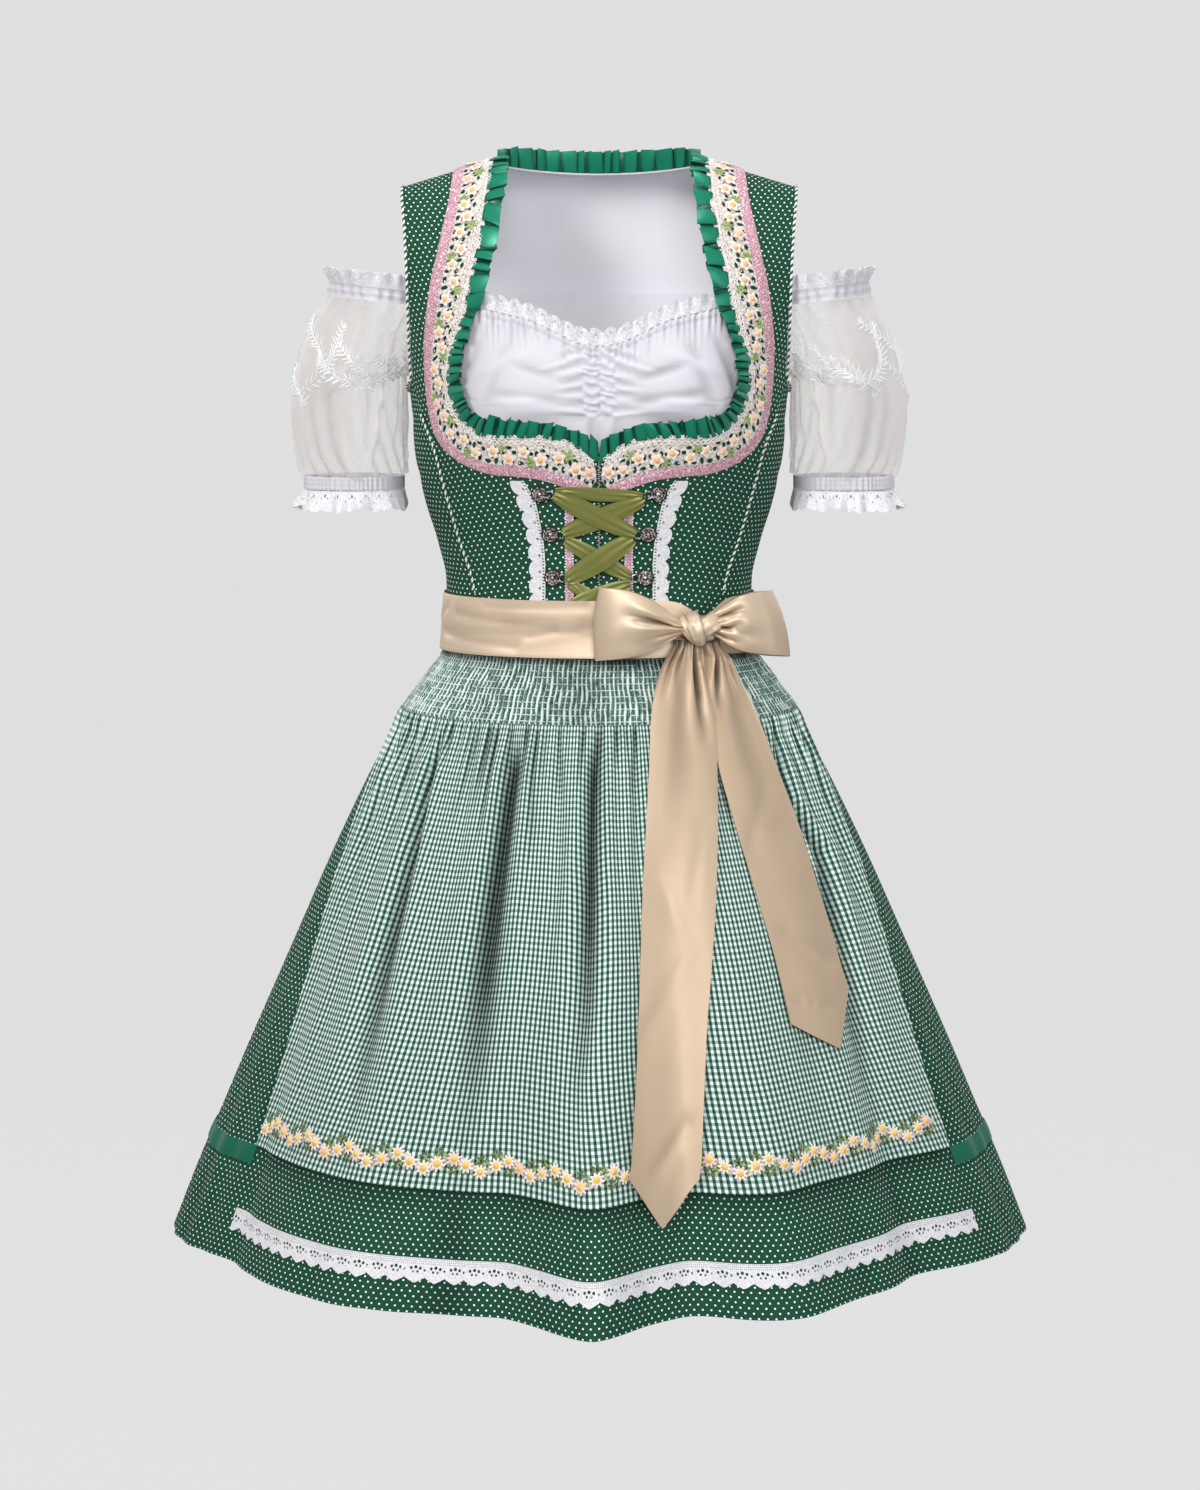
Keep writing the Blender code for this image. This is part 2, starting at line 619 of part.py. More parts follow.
def front_angles(limit):
    inner = [a for a in SKIRT_COLUMNS if abs(a) < limit - 3]
    return [-limit] + inner + [limit]


def apron_lift(angle, z):
    return LAY + APRON_EDGE_LIFT * smooth(48, 60, abs(angle)) * smooth(-440, -466, z)


def on_skirt(name, angle_rows, heights, colour, thick, extra=0.0):
    """Cloth on the skirt's front with the apron's spacing; each row has its own angles."""
    grid = [[skirt(a, z) for a in reversed(line)] for line, z in zip(angle_rows, heights)]
    lifts = [[apron_lift(a, z) + extra for a in reversed(line)]
             for line, z in zip(angle_rows, heights)]
    cloth(name, grid, colour, thick, lambda j, i: lifts[j][i])


def apron():
    rows = (-391.5, -414, -440, SMOCK_END)
    on_skirt("apron_smocking", [SKIRT_COLUMNS] * len(rows), rows, "gingham", COTTON)
    rows = (SMOCK_END - 2 * SEAM, -475, -530, -620, -760, APRON_HEM)
    inner = [a for a in SKIRT_COLUMNS if abs(a) <= APRON_LAST_COLUMN]
    angle_rows = []
    for z in rows:
        edge = APRON_EDGE.at(z, "angle")
        side = [blend(APRON_LAST_COLUMN, edge, 0.5), edge]
        angle_rows.append([-a for a in reversed(side)] + inner + side)
    on_skirt("apron_skirt", angle_rows, rows, "gingham", COTTON)


def skirt_trims():
    on_skirt("apron_flowers", [front_angles(FLOWER_ANGLE)] * 2, FLOWERS, "cream", THIN, LAY + COTTON)
    cloth("hem_lace", skirt_grid(front_angles(HEM_LACE_ANGLE), HEM_LACE), "white", THIN, LAY)
    front = [a for a in FRONT_HALF if SIDE_RIBBON_ANGLE <= a < 90]
    angles = front + back_angles() + [360 - a for a in reversed(front)]
    cloth("side_ribbon", skirt_grid(angles, SIDE_RIBBON), "emerald", THIN, LAY)


# ---- blouse ----------------------------------------------------------------------------
def blouse_row(row, front):
    """One level of the blouse's front or back, from one side edge to the other."""
    edge_x, edge_z = BLOUSE.at(row, "edge_x"), BLOUSE.at(row, "edge_z")
    centre_z = BLOUSE.at(row, "front_z" if front else "back_z")
    limit = turn_of(edge_x, edge_z, front) if row < BLOUSE_SEAM_ROWS else 0.0
    sign = -1 if front else 1
    half = []
    for share in BLOUSE_SHARES:
        turn, z = blend(90.0 * sign, limit, share), blend(centre_z, edge_z, share ** 1.5)
        point = torso_turn(turn, z, 1)
        if row == 0 and front:
            point = torso_turn(turn, BLOUSE_TOP.at(point.x, "z"), 1)
        point.y += BLOUSE_HALF_GAP * sign
        half.append(point)
    other = [Vector((-p.x, p.y, p.z)) for p in half[1:]]
    return half[::-1] + other if front else other[::-1] + half


def blouse_lift(point, front):
    if not front:
        return -BLOUSE_INSET["back"]
    return -BLOUSE_INSET["front"] - BLOUSE_HOLLOW * smooth(75, 25, abs(point.x))


def blouse():
    for name, front in (("blouse_front", True), ("blouse_back", False)):
        grid = [blouse_row(row, front) for row in range(len(BLOUSE.rows))]
        lifts = [[blouse_lift(p, front) for p in line] for line in grid]
        cloth(name, grid, "white", THIN, lambda j, i, lifts=lifts: lifts[j][i],
              normals=form_normals(grid))
    top = [p for p in blouse_row(0, True) if abs(p.x) < BLOUSE_LACE_HALF]
    grid = [[torso(p.x, p.z + height) for p in top] for height in (BLOUSE_LACE, 2 * SEAM)]
    lifts = [blouse_lift(p, True) for p in top]
    cloth("blouse_lace", grid, "white", THIN, lambda j, i: lifts[i],
          normals=form_normals(grid))


def sleeve_row(row):
    """Section of the right sleeve, from its front seam round the outside to its back seam."""
    value = {name: SLEEVE.at(row, name) for name in SLEEVE.names}
    ends = []
    for key, sign in (("front", -1), ("back", 1)):
        if row < UNDERARM_ROW:
            seam = torso(value["seam_x"], value["seam_z"], key == "front")
            seam -= form_normal(seam) * (BLOUSE_INSET[key] - THIN)
            seam.x += 0.9
        else:
            seam = Vector((value["seam_x"], UNDERARM_GAP * sign, 0))
        ends.append([seam, Vector((value["neck_x"], sign * value["neck_y"], 0)),
                     Vector((value["bulge_x"], sign * value["bulge_y"], 0))])
    route = ends[0] + [Vector((value["outer_x"], 0, 0))] + ends[1][::-1]
    route = through([Vector((p.x, p.y, 0)) for p in route], SLEEVE_STEPS)
    reach = value["outer_x"] - value["seam_x"]
    for point in route:
        share = (point.x - value["seam_x"]) / reach
        point.z = blend(value["seam_z"], value["outer_z"], share)
    return route


def sleeves():
    rows = [sleeve_row(row) for row in range(len(SLEEVE.rows))]
    both_sides("sleeve", rows[1:], "organza", THIN, -THIN)
    crown = []
    for n, point in enumerate(rows[0]):
        share = min(n, len(rows[0]) - 1 - n) / SLEEVE_STEPS
        away = Vector((point.x - SHOULDER_CENTRE, point.y, 0)).normalized()
        crown.append(point + away * FRILL_FLARE * smooth(1, 2, share)
                     + Vector((0, 0, 1.5 + SHOULDER_FRILL * smooth(0, 2, share))))
    ends = [point + Vector((0, 0, 2 * SEAM)) for point in rows[1]]
    both_sides("sleeve_top_band", [crown, rows[0], ends], "white", THIN, -THIN)
    for name, top, end, flare in (("cuff_band", CUFF_TOP, CUFF_END, 0.0),
                                  ("cuff_frill", CUFF_END - 2 * SEAM, CUFF_FRILL_END, CUFF_FLARE)):
        for side in (1, -1):
            rings = [cuff_ring(top, 0.0, side), cuff_ring(end, flare, side)]
            label = name + ("_right" if side > 0 else "_left")
            cloth(label, rings, "white", THIN, -THIN, closed=True)


def cuff_ring(z, flare, side):
    ring = []
    for n in range(CUFF_SIDES):
        a = 2 * math.pi * n / CUFF_SIDES
        x = CUFF_CENTRE + (CUFF_RADIUS_X + flare) * math.cos(a)
        x = max(x, CUFF_CENTRE - CUFF_RADIUS_X)
        ring.append(Vector((side * x, side * (CUFF_RADIUS_Y + flare) * math.sin(a), z)))
    return ring


# ---- trims and closures ----------------------------------------------------------------
def strip_on_front(name, table, colour):
    """A trim down each front, its edges given by height."""
    rows = []
    for z in sorted(table.column("z"), reverse=True):
        line = []
        for edge in ("outer", "inner"):
            point = torso(table.at(z, edge), z)
            point.y -= SEAM
            line.append(point)
        rows.append(line)
    both_sides(name, rows, colour, THIN, LAY + SEAM, form_normals)


def armhole_edge():
    """The armhole of the right side: front edge, underarm and back edge."""
    loop = []
    for k in range(LAST_STATION, PRINCESS_END - 1, -1):
        loop.append(torso(STATIONS.at(k, "edge_x"), STATIONS.at(k, "edge_z")))
    loop[0].y = 0.0
    for y in (-20.0, -8.0, 6.0, 20.0):
        z = armhole_height(y)
        loop.append(Vector((TORSO.at(z, "half_width") + SEAM, y, z)))
    for row in range(SIDE_BACK_ROW, 0, -1):
        loop.append(torso(BACK.at(row, "edge_x"), BACK.at(row, "edge_z"), front=False))
    return loop


def on_face(point, lift):
    """The point moved out of the bodice's face, upright at the shoulder seam."""
    if at_shoulder(point):
        return point + Vector((SHOULDER_SLOPE, 0, 1)).normalized() * lift
    return point + form_normal(point) * lift


def pipings():
    loop = [on_face(p, PIPING + SEAM) for p in armhole_edge()]
    steps = [PRINCESS_START + PRINCESS_STOP] + list(range(PRINCESS_START + 1, PRINCESS_END))
    seam = [on_face(torso(STATIONS.at(k, "edge_x"), STATIONS.at(k, "edge_z")), PIPING + SEAM)
            for k in steps]
    for sign, side in ((1, "right"), (-1, "left")):
        ring_cord("armhole_piping_" + side, [Vector((sign * p.x, p.y, p.z)) for p in loop],
                  PIPING, "white")
        cord("princess_piping_" + side, [Vector((sign * p.x, p.y, p.z)) for p in seam],
             PIPING, "white")


def ring_cord(name, route, radius, colour, sides=5):
    """Round cord along a closed loop."""
    count = len(route)
    grid = []
    for n in range(sides):
        line = []
        for k in range(count):
            ahead = (route[(k + 1) % count] - route[k - 1]).normalized()
            side = ahead.cross(Vector((1, 0, 0))).normalized()
            up = side.cross(ahead)
            a = 2 * math.pi * n / sides
            line.append(route[k] + radius * (math.cos(a) * side + math.sin(a) * up))
        grid.append(line)
    mesh_data = bmesh.new()
    verts = [[mesh_data.verts.new(p) for p in line] for line in grid]
    for n in range(sides):
        m = (n + 1) % sides
        for k in range(count):
            j = (k + 1) % count
            mesh_data.faces.new((verts[n][k], verts[n][j], verts[m][j], verts[m][k]))
    return finish(name, mesh_data, colour)


def front_zip():
    rows = []
    for z in ZIP_LEVELS:
        rows.append([torso(x, z) - Vector((0, SEAM, 0)) for x in (ZIP_HALF, -ZIP_HALF)])
    cloth("front_zip", rows, "white", THIN, -COTTON - LAY - THIN)


def hooks():
    for side, label in ((1, "right"), (-1, "left")):
        for n, (x, z) in enumerate(HOOKS, 1):
            hook("hook_%s_%d" % (label, n), side * x, z)


def hook(name, x, z):
    """Round plate with a ring beside it, flat on the bodice, in one piece."""
    point = torso(x, z)
    out = form_normal(point)
    along = Vector((0, 0, 1)).cross(out).normalized() * -math.copysign(1, x)
    up = out.cross(along)
    base = point - Vector((0, SEAM, 0)) + out * (LAY + THIN + SEAM)
    mesh_data = bmesh.new()
    sides = 8
    plates = [[mesh_data.verts.new(base + out * height + HOOK_RADIUS * (
        math.cos(2 * math.pi * n / sides) * along + math.sin(2 * math.pi * n / sides) * up))
        for n in range(sides)] for height in (0.0, HOOK_THICK)]
    mesh_data.faces.new(plates[0])
    mesh_data.faces.new(plates[1])
    for n in range(sides):
        m = (n + 1) % sides
        mesh_data.faces.new((plates[0][n], plates[0][m], plates[1][m], plates[1][n]))
    plate = finish(name, mesh_data, "silver")
    centre = base + out * RING_WIRE * 1.1
    inward = Vector((-math.copysign(1, x), 0, 0))
    inward = (inward - out * inward.dot(out)).normalized()
    centre += inward * RING_OFFSET
    route = [centre + RING_RADIUS * (math.cos(a) * inward + math.sin(a) * up)
             for a in (2 * math.pi * k / RING_SIDES for k in range(RING_SIDES))]
    ring = ring_around(name + "_ring", route, out)
    join = plate.modifiers.new("ring", "BOOLEAN")
    join.operation = "UNION"
    join.object = ring


def ring_around(name, route, axis):
    """Closed wire ring used to complete a hook."""
    mesh_data = bmesh.new()
    middle = sum(route, Vector()) / len(route)
    loops = []
    for point in route:
        away = (point - middle).normalized()
        loops.append([mesh_data.verts.new(point + RING_WIRE * (
            math.cos(a) * away + math.sin(a) * axis))
            for a in (2 * math.pi * n / 4 + math.pi / 4 for n in range(4))])
    for k, loop in enumerate(loops):
        after = loops[(k + 1) % len(loops)]
        for n in range(4):
            m = (n + 1) % 4
            mesh_data.faces.new((loop[n], loop[m], after[m], after[n]))
    made = finish(name, mesh_data, "silver")
    made.hide_render = True
    made.display_type = "WIRE"
    return made


def lacings():
    for n, (x0, z0, x1, z1, width, start, middle, end) in enumerate(LACING, 1):
        down = Vector((z1 - z0, 0, x0 - x1)).normalized()
        if down.z > 0:
            down = -down
        rows, lifts = [[], []], []
        steps = 6
        for k in range(steps + 1):
            t = k / steps
            half = 0.5 * width * blend(LACING_PINCH, 1.0, math.sin(math.pi * t) ** 0.6)
            centre = Vector((blend(x0, x1, t), 0, blend(z0, z1, t)))
            for row, sign in ((rows[0], -1), (rows[1], 1)):
                edge = centre + down * half * sign
                point = torso(edge.x, edge.z)
                point.y -= SEAM
                row.append(point)
            off = blend(start, middle, 2 * t) if t < 0.5 else blend(middle, end, 2 * t - 1)
            lifts.append(off)
        if x1 > x0:
            rows = [list(reversed(row)) for row in rows]
            lifts.reverse()
        cloth("lacing_%d" % n, rows, "olive", RIBBON_THICK, lambda j, i: lifts[i],
              normals=form_normals(rows))


# ---- belt and bow ----------------------------------------------------------------------
def belt_point(angle, z):
    if z < WAIST:
        return skirt(angle, z)
    s, c = math.sin(math.radians(angle)), math.cos(math.radians(angle))
    power = 2 / SECTION_POWER
    x = TORSO.at(z, "half_width") * math.copysign(abs(s) ** power, s)
    depth = TORSO.at(z, "front" if c > 0 else "back")
    return Vector((x, -depth * math.copysign(abs(c) ** power, c), z))


def belt():
    heights = (BELT_TOP, -378.0, -391.0, BELT_END)
    sides, front = (1.4, 2.2, 3.2, 3.2), (5.3, 5.0, 3.8, 3.2)
    angles = [-12.0 * n for n in range(30)]
    grid = [[belt_point(a, z) for a in angles] for z in heights]

    def lift(row, column):
        x, y = grid[row][column].x, grid[row][column].y
        over = smooth(90, 62, abs(x)) if y < 0 else 0.0
        return blend(sides[row], front[row], over)

    cloth("belt", grid, "champagne", COTTON, lift, closed=True)


def superellipsoid(centre, size, rings=7, sides=12, power=0.6):
    """Rounded block, as rings of points from the top to the bottom."""
    def bent(value):
        return math.copysign(abs(value) ** power, value)

    rows = []
    for j in range(1, rings):
        polar = math.pi * j / rings
        rows.append([Vector((
            centre[0] + size[0] * bent(math.sin(polar)) * bent(math.cos(2 * math.pi * n / sides)),
            centre[1] + size[1] * bent(math.sin(polar)) * bent(math.sin(2 * math.pi * n / sides)),
            centre[2] + size[2] * bent(math.cos(polar)))) for n in range(sides)])
    return rows


def bow_knot():
    rows = superellipsoid(KNOT, KNOT_SIZE)
    mesh_data = bmesh.new()
    loops = [[mesh_data.verts.new(p) for p in row] for row in rows]
    for upper, lower in zip(loops, loops[1:]):
        for n in range(len(upper)):
            m = (n + 1) % len(upper)
            mesh_data.faces.new((upper[n], upper[m], lower[m], lower[n]))
    mesh_data.faces.new(loops[0])
    mesh_data.faces.new(loops[-1])
    finish("bow_knot", mesh_data, "champagne")


def bow_loops():
    for name, (mouth_x, mouth_z, end_x, top, bottom, rear, depth) in LOOPS.items():
        rows = []
        for up in (1.0, 0.33, -0.33, -1.0):
            line = []
            for k in range(13):
                turn = math.pi * k / 12
                share = math.sin(turn) ** 0.8
                side = (1 + math.cos(turn)) / 2
                back = (blend(rear[0], rear[1], 2 * share) if share < 0.5
                        else blend(rear[1], rear[2], 2 * share - 1))
                gap = blend(2.6, depth, smooth(0.0, 0.65, share))
                end_z = blend(bottom, top, (up + 1) / 2)
                z = blend(mouth_z + RIBBON_GATHER * up, end_z, share ** 0.8)
                x = blend(mouth_x, end_x, share)
                line.append(Vector((x, back - gap * side, z)))
            rows.append(line if end_x > mouth_x else line[::-1])
        cloth(name, rows, "champagne", THIN, -THIN)


def bow_tails():
    for name, table, end in (("bow_tail_long", TAIL_LONG, TAIL_LONG_END),
                             ("bow_tail_right", TAIL_RIGHT, TAIL_RIGHT_END)):
        grid, lifts = [], []
        for z in sorted(table.column("z"), reverse=True):
            left, right = table.at(z, "left"), table.at(z, "right")
            grid.append([tail_point(blend(left, right, u), z) for u in reversed(TAIL_COLUMNS)])
            lifts.append(table.at(z, "lift"))
        last = []
        for u in reversed(TAIL_COLUMNS):
            (_, x0, z0), (tip_u, x1, z1), (_, x2, z2) = end
            t = u / tip_u if u <= tip_u else (u - tip_u) / (1 - tip_u)
            x = blend(x0, x1, t) if u <= tip_u else blend(x1, x2, t)
            z = blend(z0, z1, t) if u <= tip_u else blend(z1, z2, t)
            last.append(tail_point(x, z))
        grid.append(last)
        lifts.append(lifts[-1])
        cloth(name, grid, "champagne", THIN, lambda j, i, lifts=lifts: lifts[j])


def tail_point(x, z):
    return skirt(skirt_angle(x, z), z)


def main():
    for old in list(bpy.data.objects):
        bpy.data.objects.remove(old)
    bodice_fronts()
    neck_trims()
    neck_ruffles()
    bodice_back()
    back_ruffle()
    bodice_sides()
    skirt_panels()
    apron()
    skirt_trims()
    blouse()
    sleeves()
    strip_on_front("scallop_lace", SCALLOP, "white")
    strip_on_front("pink_edging", PINK_EDGE, "pink")
    pipings()
    front_zip()
    hooks()
    lacings()
    belt()
    bow_knot()
    bow_loops()
    bow_tails()


main()
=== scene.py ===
from math import cos, hypot, pi, radians, sin

import bpy
import numpy as np
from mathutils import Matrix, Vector


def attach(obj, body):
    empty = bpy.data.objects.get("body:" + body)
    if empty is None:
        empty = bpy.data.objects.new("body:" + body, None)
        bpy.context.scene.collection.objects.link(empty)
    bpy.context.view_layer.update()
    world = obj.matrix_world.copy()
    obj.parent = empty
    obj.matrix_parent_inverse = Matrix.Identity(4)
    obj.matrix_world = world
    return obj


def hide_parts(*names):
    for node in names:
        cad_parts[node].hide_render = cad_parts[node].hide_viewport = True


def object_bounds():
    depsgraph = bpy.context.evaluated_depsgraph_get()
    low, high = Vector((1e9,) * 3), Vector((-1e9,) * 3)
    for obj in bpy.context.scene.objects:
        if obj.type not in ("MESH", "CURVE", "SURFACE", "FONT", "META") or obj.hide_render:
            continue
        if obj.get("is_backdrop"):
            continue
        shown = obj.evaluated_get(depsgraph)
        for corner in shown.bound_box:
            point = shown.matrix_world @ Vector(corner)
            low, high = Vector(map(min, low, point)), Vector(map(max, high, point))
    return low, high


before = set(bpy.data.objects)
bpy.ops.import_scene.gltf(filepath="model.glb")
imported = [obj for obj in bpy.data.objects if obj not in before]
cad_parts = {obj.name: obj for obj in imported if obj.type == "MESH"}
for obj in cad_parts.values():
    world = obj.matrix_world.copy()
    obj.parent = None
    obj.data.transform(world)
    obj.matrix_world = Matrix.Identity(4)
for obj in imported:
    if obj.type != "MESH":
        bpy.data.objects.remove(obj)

CAD_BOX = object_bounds()
MM = 0.001


# ---- tables and forms
class Table:
    """Rows of numbers under named columns, read by a smooth curve that never overshoots."""

    def __init__(self, columns, *rows):
        self.names, self.data = columns.split(), np.array(sorted(rows), float)

    def at(self, key, *names):
        """Values of one column, or of several in a stack, at each key."""
        x = self.data[:, 0]
        step = np.diff(x)
        key = np.clip(np.asarray(key, float), x[0], x[-1])
        i = np.clip(np.searchsorted(x, key, side="right") - 1, 0, len(step) - 1)
        h = step[i]
        t = (key - x[i]) / h
        made = []
        for name in names:
            y = self.data[:, self.names.index(name)]
            rise = np.diff(y) / step
            p, q = rise[:-1], rise[1:]
            mean = np.where(p * q <= 0, 0.0, 2 * p * q / np.where(p + q == 0, 1.0, p + q))
            slope = np.concatenate([rise[:1], mean, rise[-1:]])
            made.append((2 * t ** 3 - 3 * t * t + 1) * y[i]
                        + (t ** 3 - 2 * t * t + t) * h * slope[i]
                        + (3 * t * t - 2 * t ** 3) * y[i + 1]
                        + (t ** 3 - t * t) * h * slope[i + 1])
        return made[0] if len(made) == 1 else np.stack(made)


TORSO = Table(
    "level half_width front back",
    (0.0, 195, 0, 0), (-1.5, 194.5, 11, 25), (-3, 194, 16, 40), (-6, 193, 23, 58),
    (-12, 192, 33, 71), (-30, 188, 52, 86), (-60, 182, 76, 95), (-100, 172, 97, 99),
    (-140, 164, 110, 99), (-180, 158.5, 118, 97), (-210, 156.6, 119, 95),
    (-246, 154.3, 115, 92), (-288, 145.8, 106, 88), (-322, 135.5, 99, 85),
    (-356, 128.6, 95, 83), (-390, 128.4, 95, 84), (-430, 135, 100, 90))
SKIRT = Table(
    "z half_width front back power",
    (-390, 127.5, 94, 84, 2.15), (-414, 131, 99, 92, 2.15), (-440, 149, 114, 108, 2.1),
    (-475, 170.5, 134, 128, 2.05), (-509, 189.5, 150, 145, 2.0), (-543, 206.5, 164, 160, 1.95),
    (-595, 231, 184, 181, 1.9), (-647, 254, 203, 200, 1.87), (-699, 277, 221, 219, 1.84),
    (-751, 300, 238, 237, 1.81), (-804, 322.5, 254, 254, 1.78), (-857, 345.5, 269, 270, 1.76),
    (-914, 368, 284, 286, 1.75))
STATIONS = Table(
    "station ruffle_x ruffle_z neck_x neck_z rim_x rim_z edge_x edge_z",
    (0, 2, -234, 2, -251, 2, -283, 2, -390), (1, 14, -226.5, 15, -240, 16, -276, 18, -390),
    (2, 29, -221.5, 31, -233, 32, -270, 34, -390), (3, 45, -219, 48, -230.5, 50, -265, 51, -390),
    (4, 60, -217, 65, -230.5, 67, -263, 67, -390), (5, 75, -215, 81, -231, 84, -262, 83, -390),
    (6, 88, -214.5, 95, -229, 103, -257, 97.5, -390),
    (7, 98, -211.5, 107, -221, 118, -249, 103, -352),
    (8, 104.5, -204.5, 115, -211, 128.5, -239, 115, -314),
    (9, 108, -196, 119.5, -200, 135, -227, 127, -270),
    (10, 109.5, -186, 121.5, -188, 138.5, -213, 134, -243),
    (11, 109.5, -176, 121.5, -177, 140.5, -199, 145, -215),
    (12, 108, -165, 119, -164, 142, -181, 154, -187),
    (13, 103, -149, 113, -149, 142.3, -160, 155.2, -160),
    (14, 96.5, -132, 108, -130, 140.5, -137, 155.6, -136),
    (15, 89.5, -107, 103, -106, 137, -110, 156.4, -108),
    (16, 81.5, -80, 97, -79, 131, -82, 158, -80), (17, 77, -53, 92.5, -52, 126, -58, 160, -57),
    (18, 74.5, -30, 90, -31, 122.5, -40, 161.8, -42),
    (19, 74, -15, 88.6, -15, 120.8, -25, 162.6, -33), (20, 74, -6, 88, -6, 120, -15.6, 163, -28.5))
LAST_STATION = 20
BACK = Table(
    "row edge_x edge_z centre_z",
    (0, 163, -28.5, -12), (1, 161, -50, -40), (2, 157, -88, -82), (3, 155.6, -125, -124),
    (4, 155, -158, -160), (5, 154, -186, -192), (6, 141, -226, -232), (7, 121, -270, -275),
    (8, 102, -315, -320), (9, 88, -353, -355), (10, 78, -390, -390))
BLOUSE_TOP = Table("x z", (0, -156), (14, -154), (31, -147), (56, -136), (93, -127),
                   (125, -119), (146, -116))
BLOUSE = Table("row edge_x edge_z front_z back_z", (0, 146, -116, -156, -116),
               (1, 146, -128, -166, -128), (2, 147, -149, -184, -149),
               (3, 149, -169, -204, -169), (4, 158, -190, -226, -190),
               (5, 158, -244, -262, -244), (6, 158, -300, -300, -300))
SLEEVE = Table(
    "row seam_x seam_z neck_x neck_y bulge_x bulge_y outer_x outer_z",
    (0, 146, -116, 157, 36, 192, 50, 224, -106), (1, 146, -128, 157, 36, 192, 51, 226.5, -118.5),
    (2, 147, -149, 157, 34, 196, 59, 240, -143), (3, 149, -169, 157, 26, 202, 63, 250, -170),
    (4, 152, -177.5, 158, 14, 207, 61, 255.5, -196), (5, 164, -182.5, 168, 19, 208, 58, 257, -215),
    (6, 164, -238, 168, 21, 208, 51.5, 252.5, -252),
    (7, 163.5, -266, 168, 19, 205, 45, 247.5, -266.5))
SCALLOP = Table("z inner outer", (-266.5, 60.5, 71.5), (-283, 51.5, 65.5), (-301, 47.5, 60),
                (-320, 44.5, 56.5), (-337, 43.5, 55.5), (-371, 43.5, 55.5))
PINK_EDGE = Table("z inner outer", (-287, 21, 26.8), (-315, 21, 26.8), (-343, 21, 26.8),
                  (-371, 21, 26.8))
APRON_EDGE = Table("z angle", (-391.5, 90), (-463.5, 90), (-480, 82), (-510, 77), (-545, 74),
                   (-600, 71), (-680, 67), (-760, 65), (-820, 64.5))
# Folds of the skirt: angle, spread to either side, how far it stands out at the hem.
FOLDS = ((-1.5, 7.5, 46), (26, 7, 24), (14.5, 4.5, -12), (-36, 11, 14), (-64, 9, -16),
         (53, 9, -22), (-15, 4, -6), (112, 9, 14), (134, 8, -16), (152, 9, 20),
         (178, 9, -12), (199, 10, 22), (222, 8, -14), (246, 10, 16))
SECTION_POWER = 2.2                        # roundness of the torso's level sections
COTTON, THIN, SEAM, LAY = 1.2, 1.0, 0.4, 0.7    # walls, and the gaps beside and under cloth
SHIRRING, SMOCK_PITCH = 4.8, 3.9           # between rows of stitching, and between pleats
SHOULDER_TOP, NECK_HALF, SHOULDER_SLOPE = -6.0, 88.0, 0.30
WAIST, HEM, APRON_HEM, SMOCK_END = -390.0, -914.0, -820.0, -463.5
FOLD_TOP, FOLD_GROWTH = -400.0, 1.5
BELT_TOP, BELT_END = -364.5, -412.5
FRONT_GRAIN = radians(9)                   # lean of the cloth's grain on the bodice fronts
BUST = (10.0, 72.0, -215.0, 45.0, 50.0)    # rise, x, z, and its reach in x and z
BEHIND = (0.0, SEAM, 0.0)
SIDES = (("right", 1), ("left", -1))


def smooth(low, high, x):
    """0 at low and 1 at high, whichever of the two is larger."""
    t = np.clip((np.asarray(x, float) - low) / (high - low), 0.0, 1.0)
    return t * t * (3 - 2 * t)


def blend(a, b, t):
    return a + (b - a) * t


def bell(x, spread):
    return np.exp(-(x / spread) ** 2)


def crease(away, wide, lip, apart):
    """Profile of a crease: a trough with a lower lip on either side."""
    return bell(away, wide) - lip * bell(np.abs(away) - apart * wide, wide)


def tent(x, pitch=1.0):
    """1 at every whole pitch and 0 halfway between."""
    return np.abs(((x / pitch) % 1.0) - 0.5) * 2


def spaced(*spans):
    """Even steps over each span (start, end, count), one span after the other."""
    return np.concatenate([np.linspace(*span) for span in spans])


def mesh(across, *down):
    """Grids of two coordinates, each from spans (start, end, count) or from an array."""
    across, down = (spaced(*v) if isinstance(v[0], tuple) else v[0] for v in ([across], down))
    return np.meshgrid(across, down)


def ring_turns(count):
    return np.linspace(0, 2 * pi, count + 1)[:-1]


def floats(*values):
    return np.broadcast_arrays(*(np.asarray(v, float) for v in values))


def stacked(*values):
    return np.stack(np.broadcast_arrays(*values), -1)


def mean_line(lines, t):
    """Points at shares t of the way along columns of numbers given at even shares."""
    source = np.linspace(0, 1, len(lines))
    return np.stack([np.interp(t, source, lines[:, k]) for k in range(lines.shape[1])], -1)


def unit(v):
    return v / np.maximum(1e-9, np.linalg.norm(v, axis=-1, keepdims=True))


def off(p, n, shift):
    """The points moved along their normals."""
    return p + n * np.asarray(shift)[..., None]


def wander(x, seed, scale):
    """Soft uneven wave between -1 and 1 along x."""
    local = np.random.default_rng(seed)
    return sum(np.sin(x / scale * (0.6 + 0.55 * k) + local.uniform(0, 6.28)) / (1 + k)
               for k in range(4)) / 2.0


def shoulder_drop(x):
    return SHOULDER_SLOPE * np.maximum(0.0, np.abs(x) - NECK_HALF) - SHOULDER_TOP


def level_at(x, z):
    return np.minimum(0.0, z + shoulder_drop(x) * smooth(-200, -80, z))


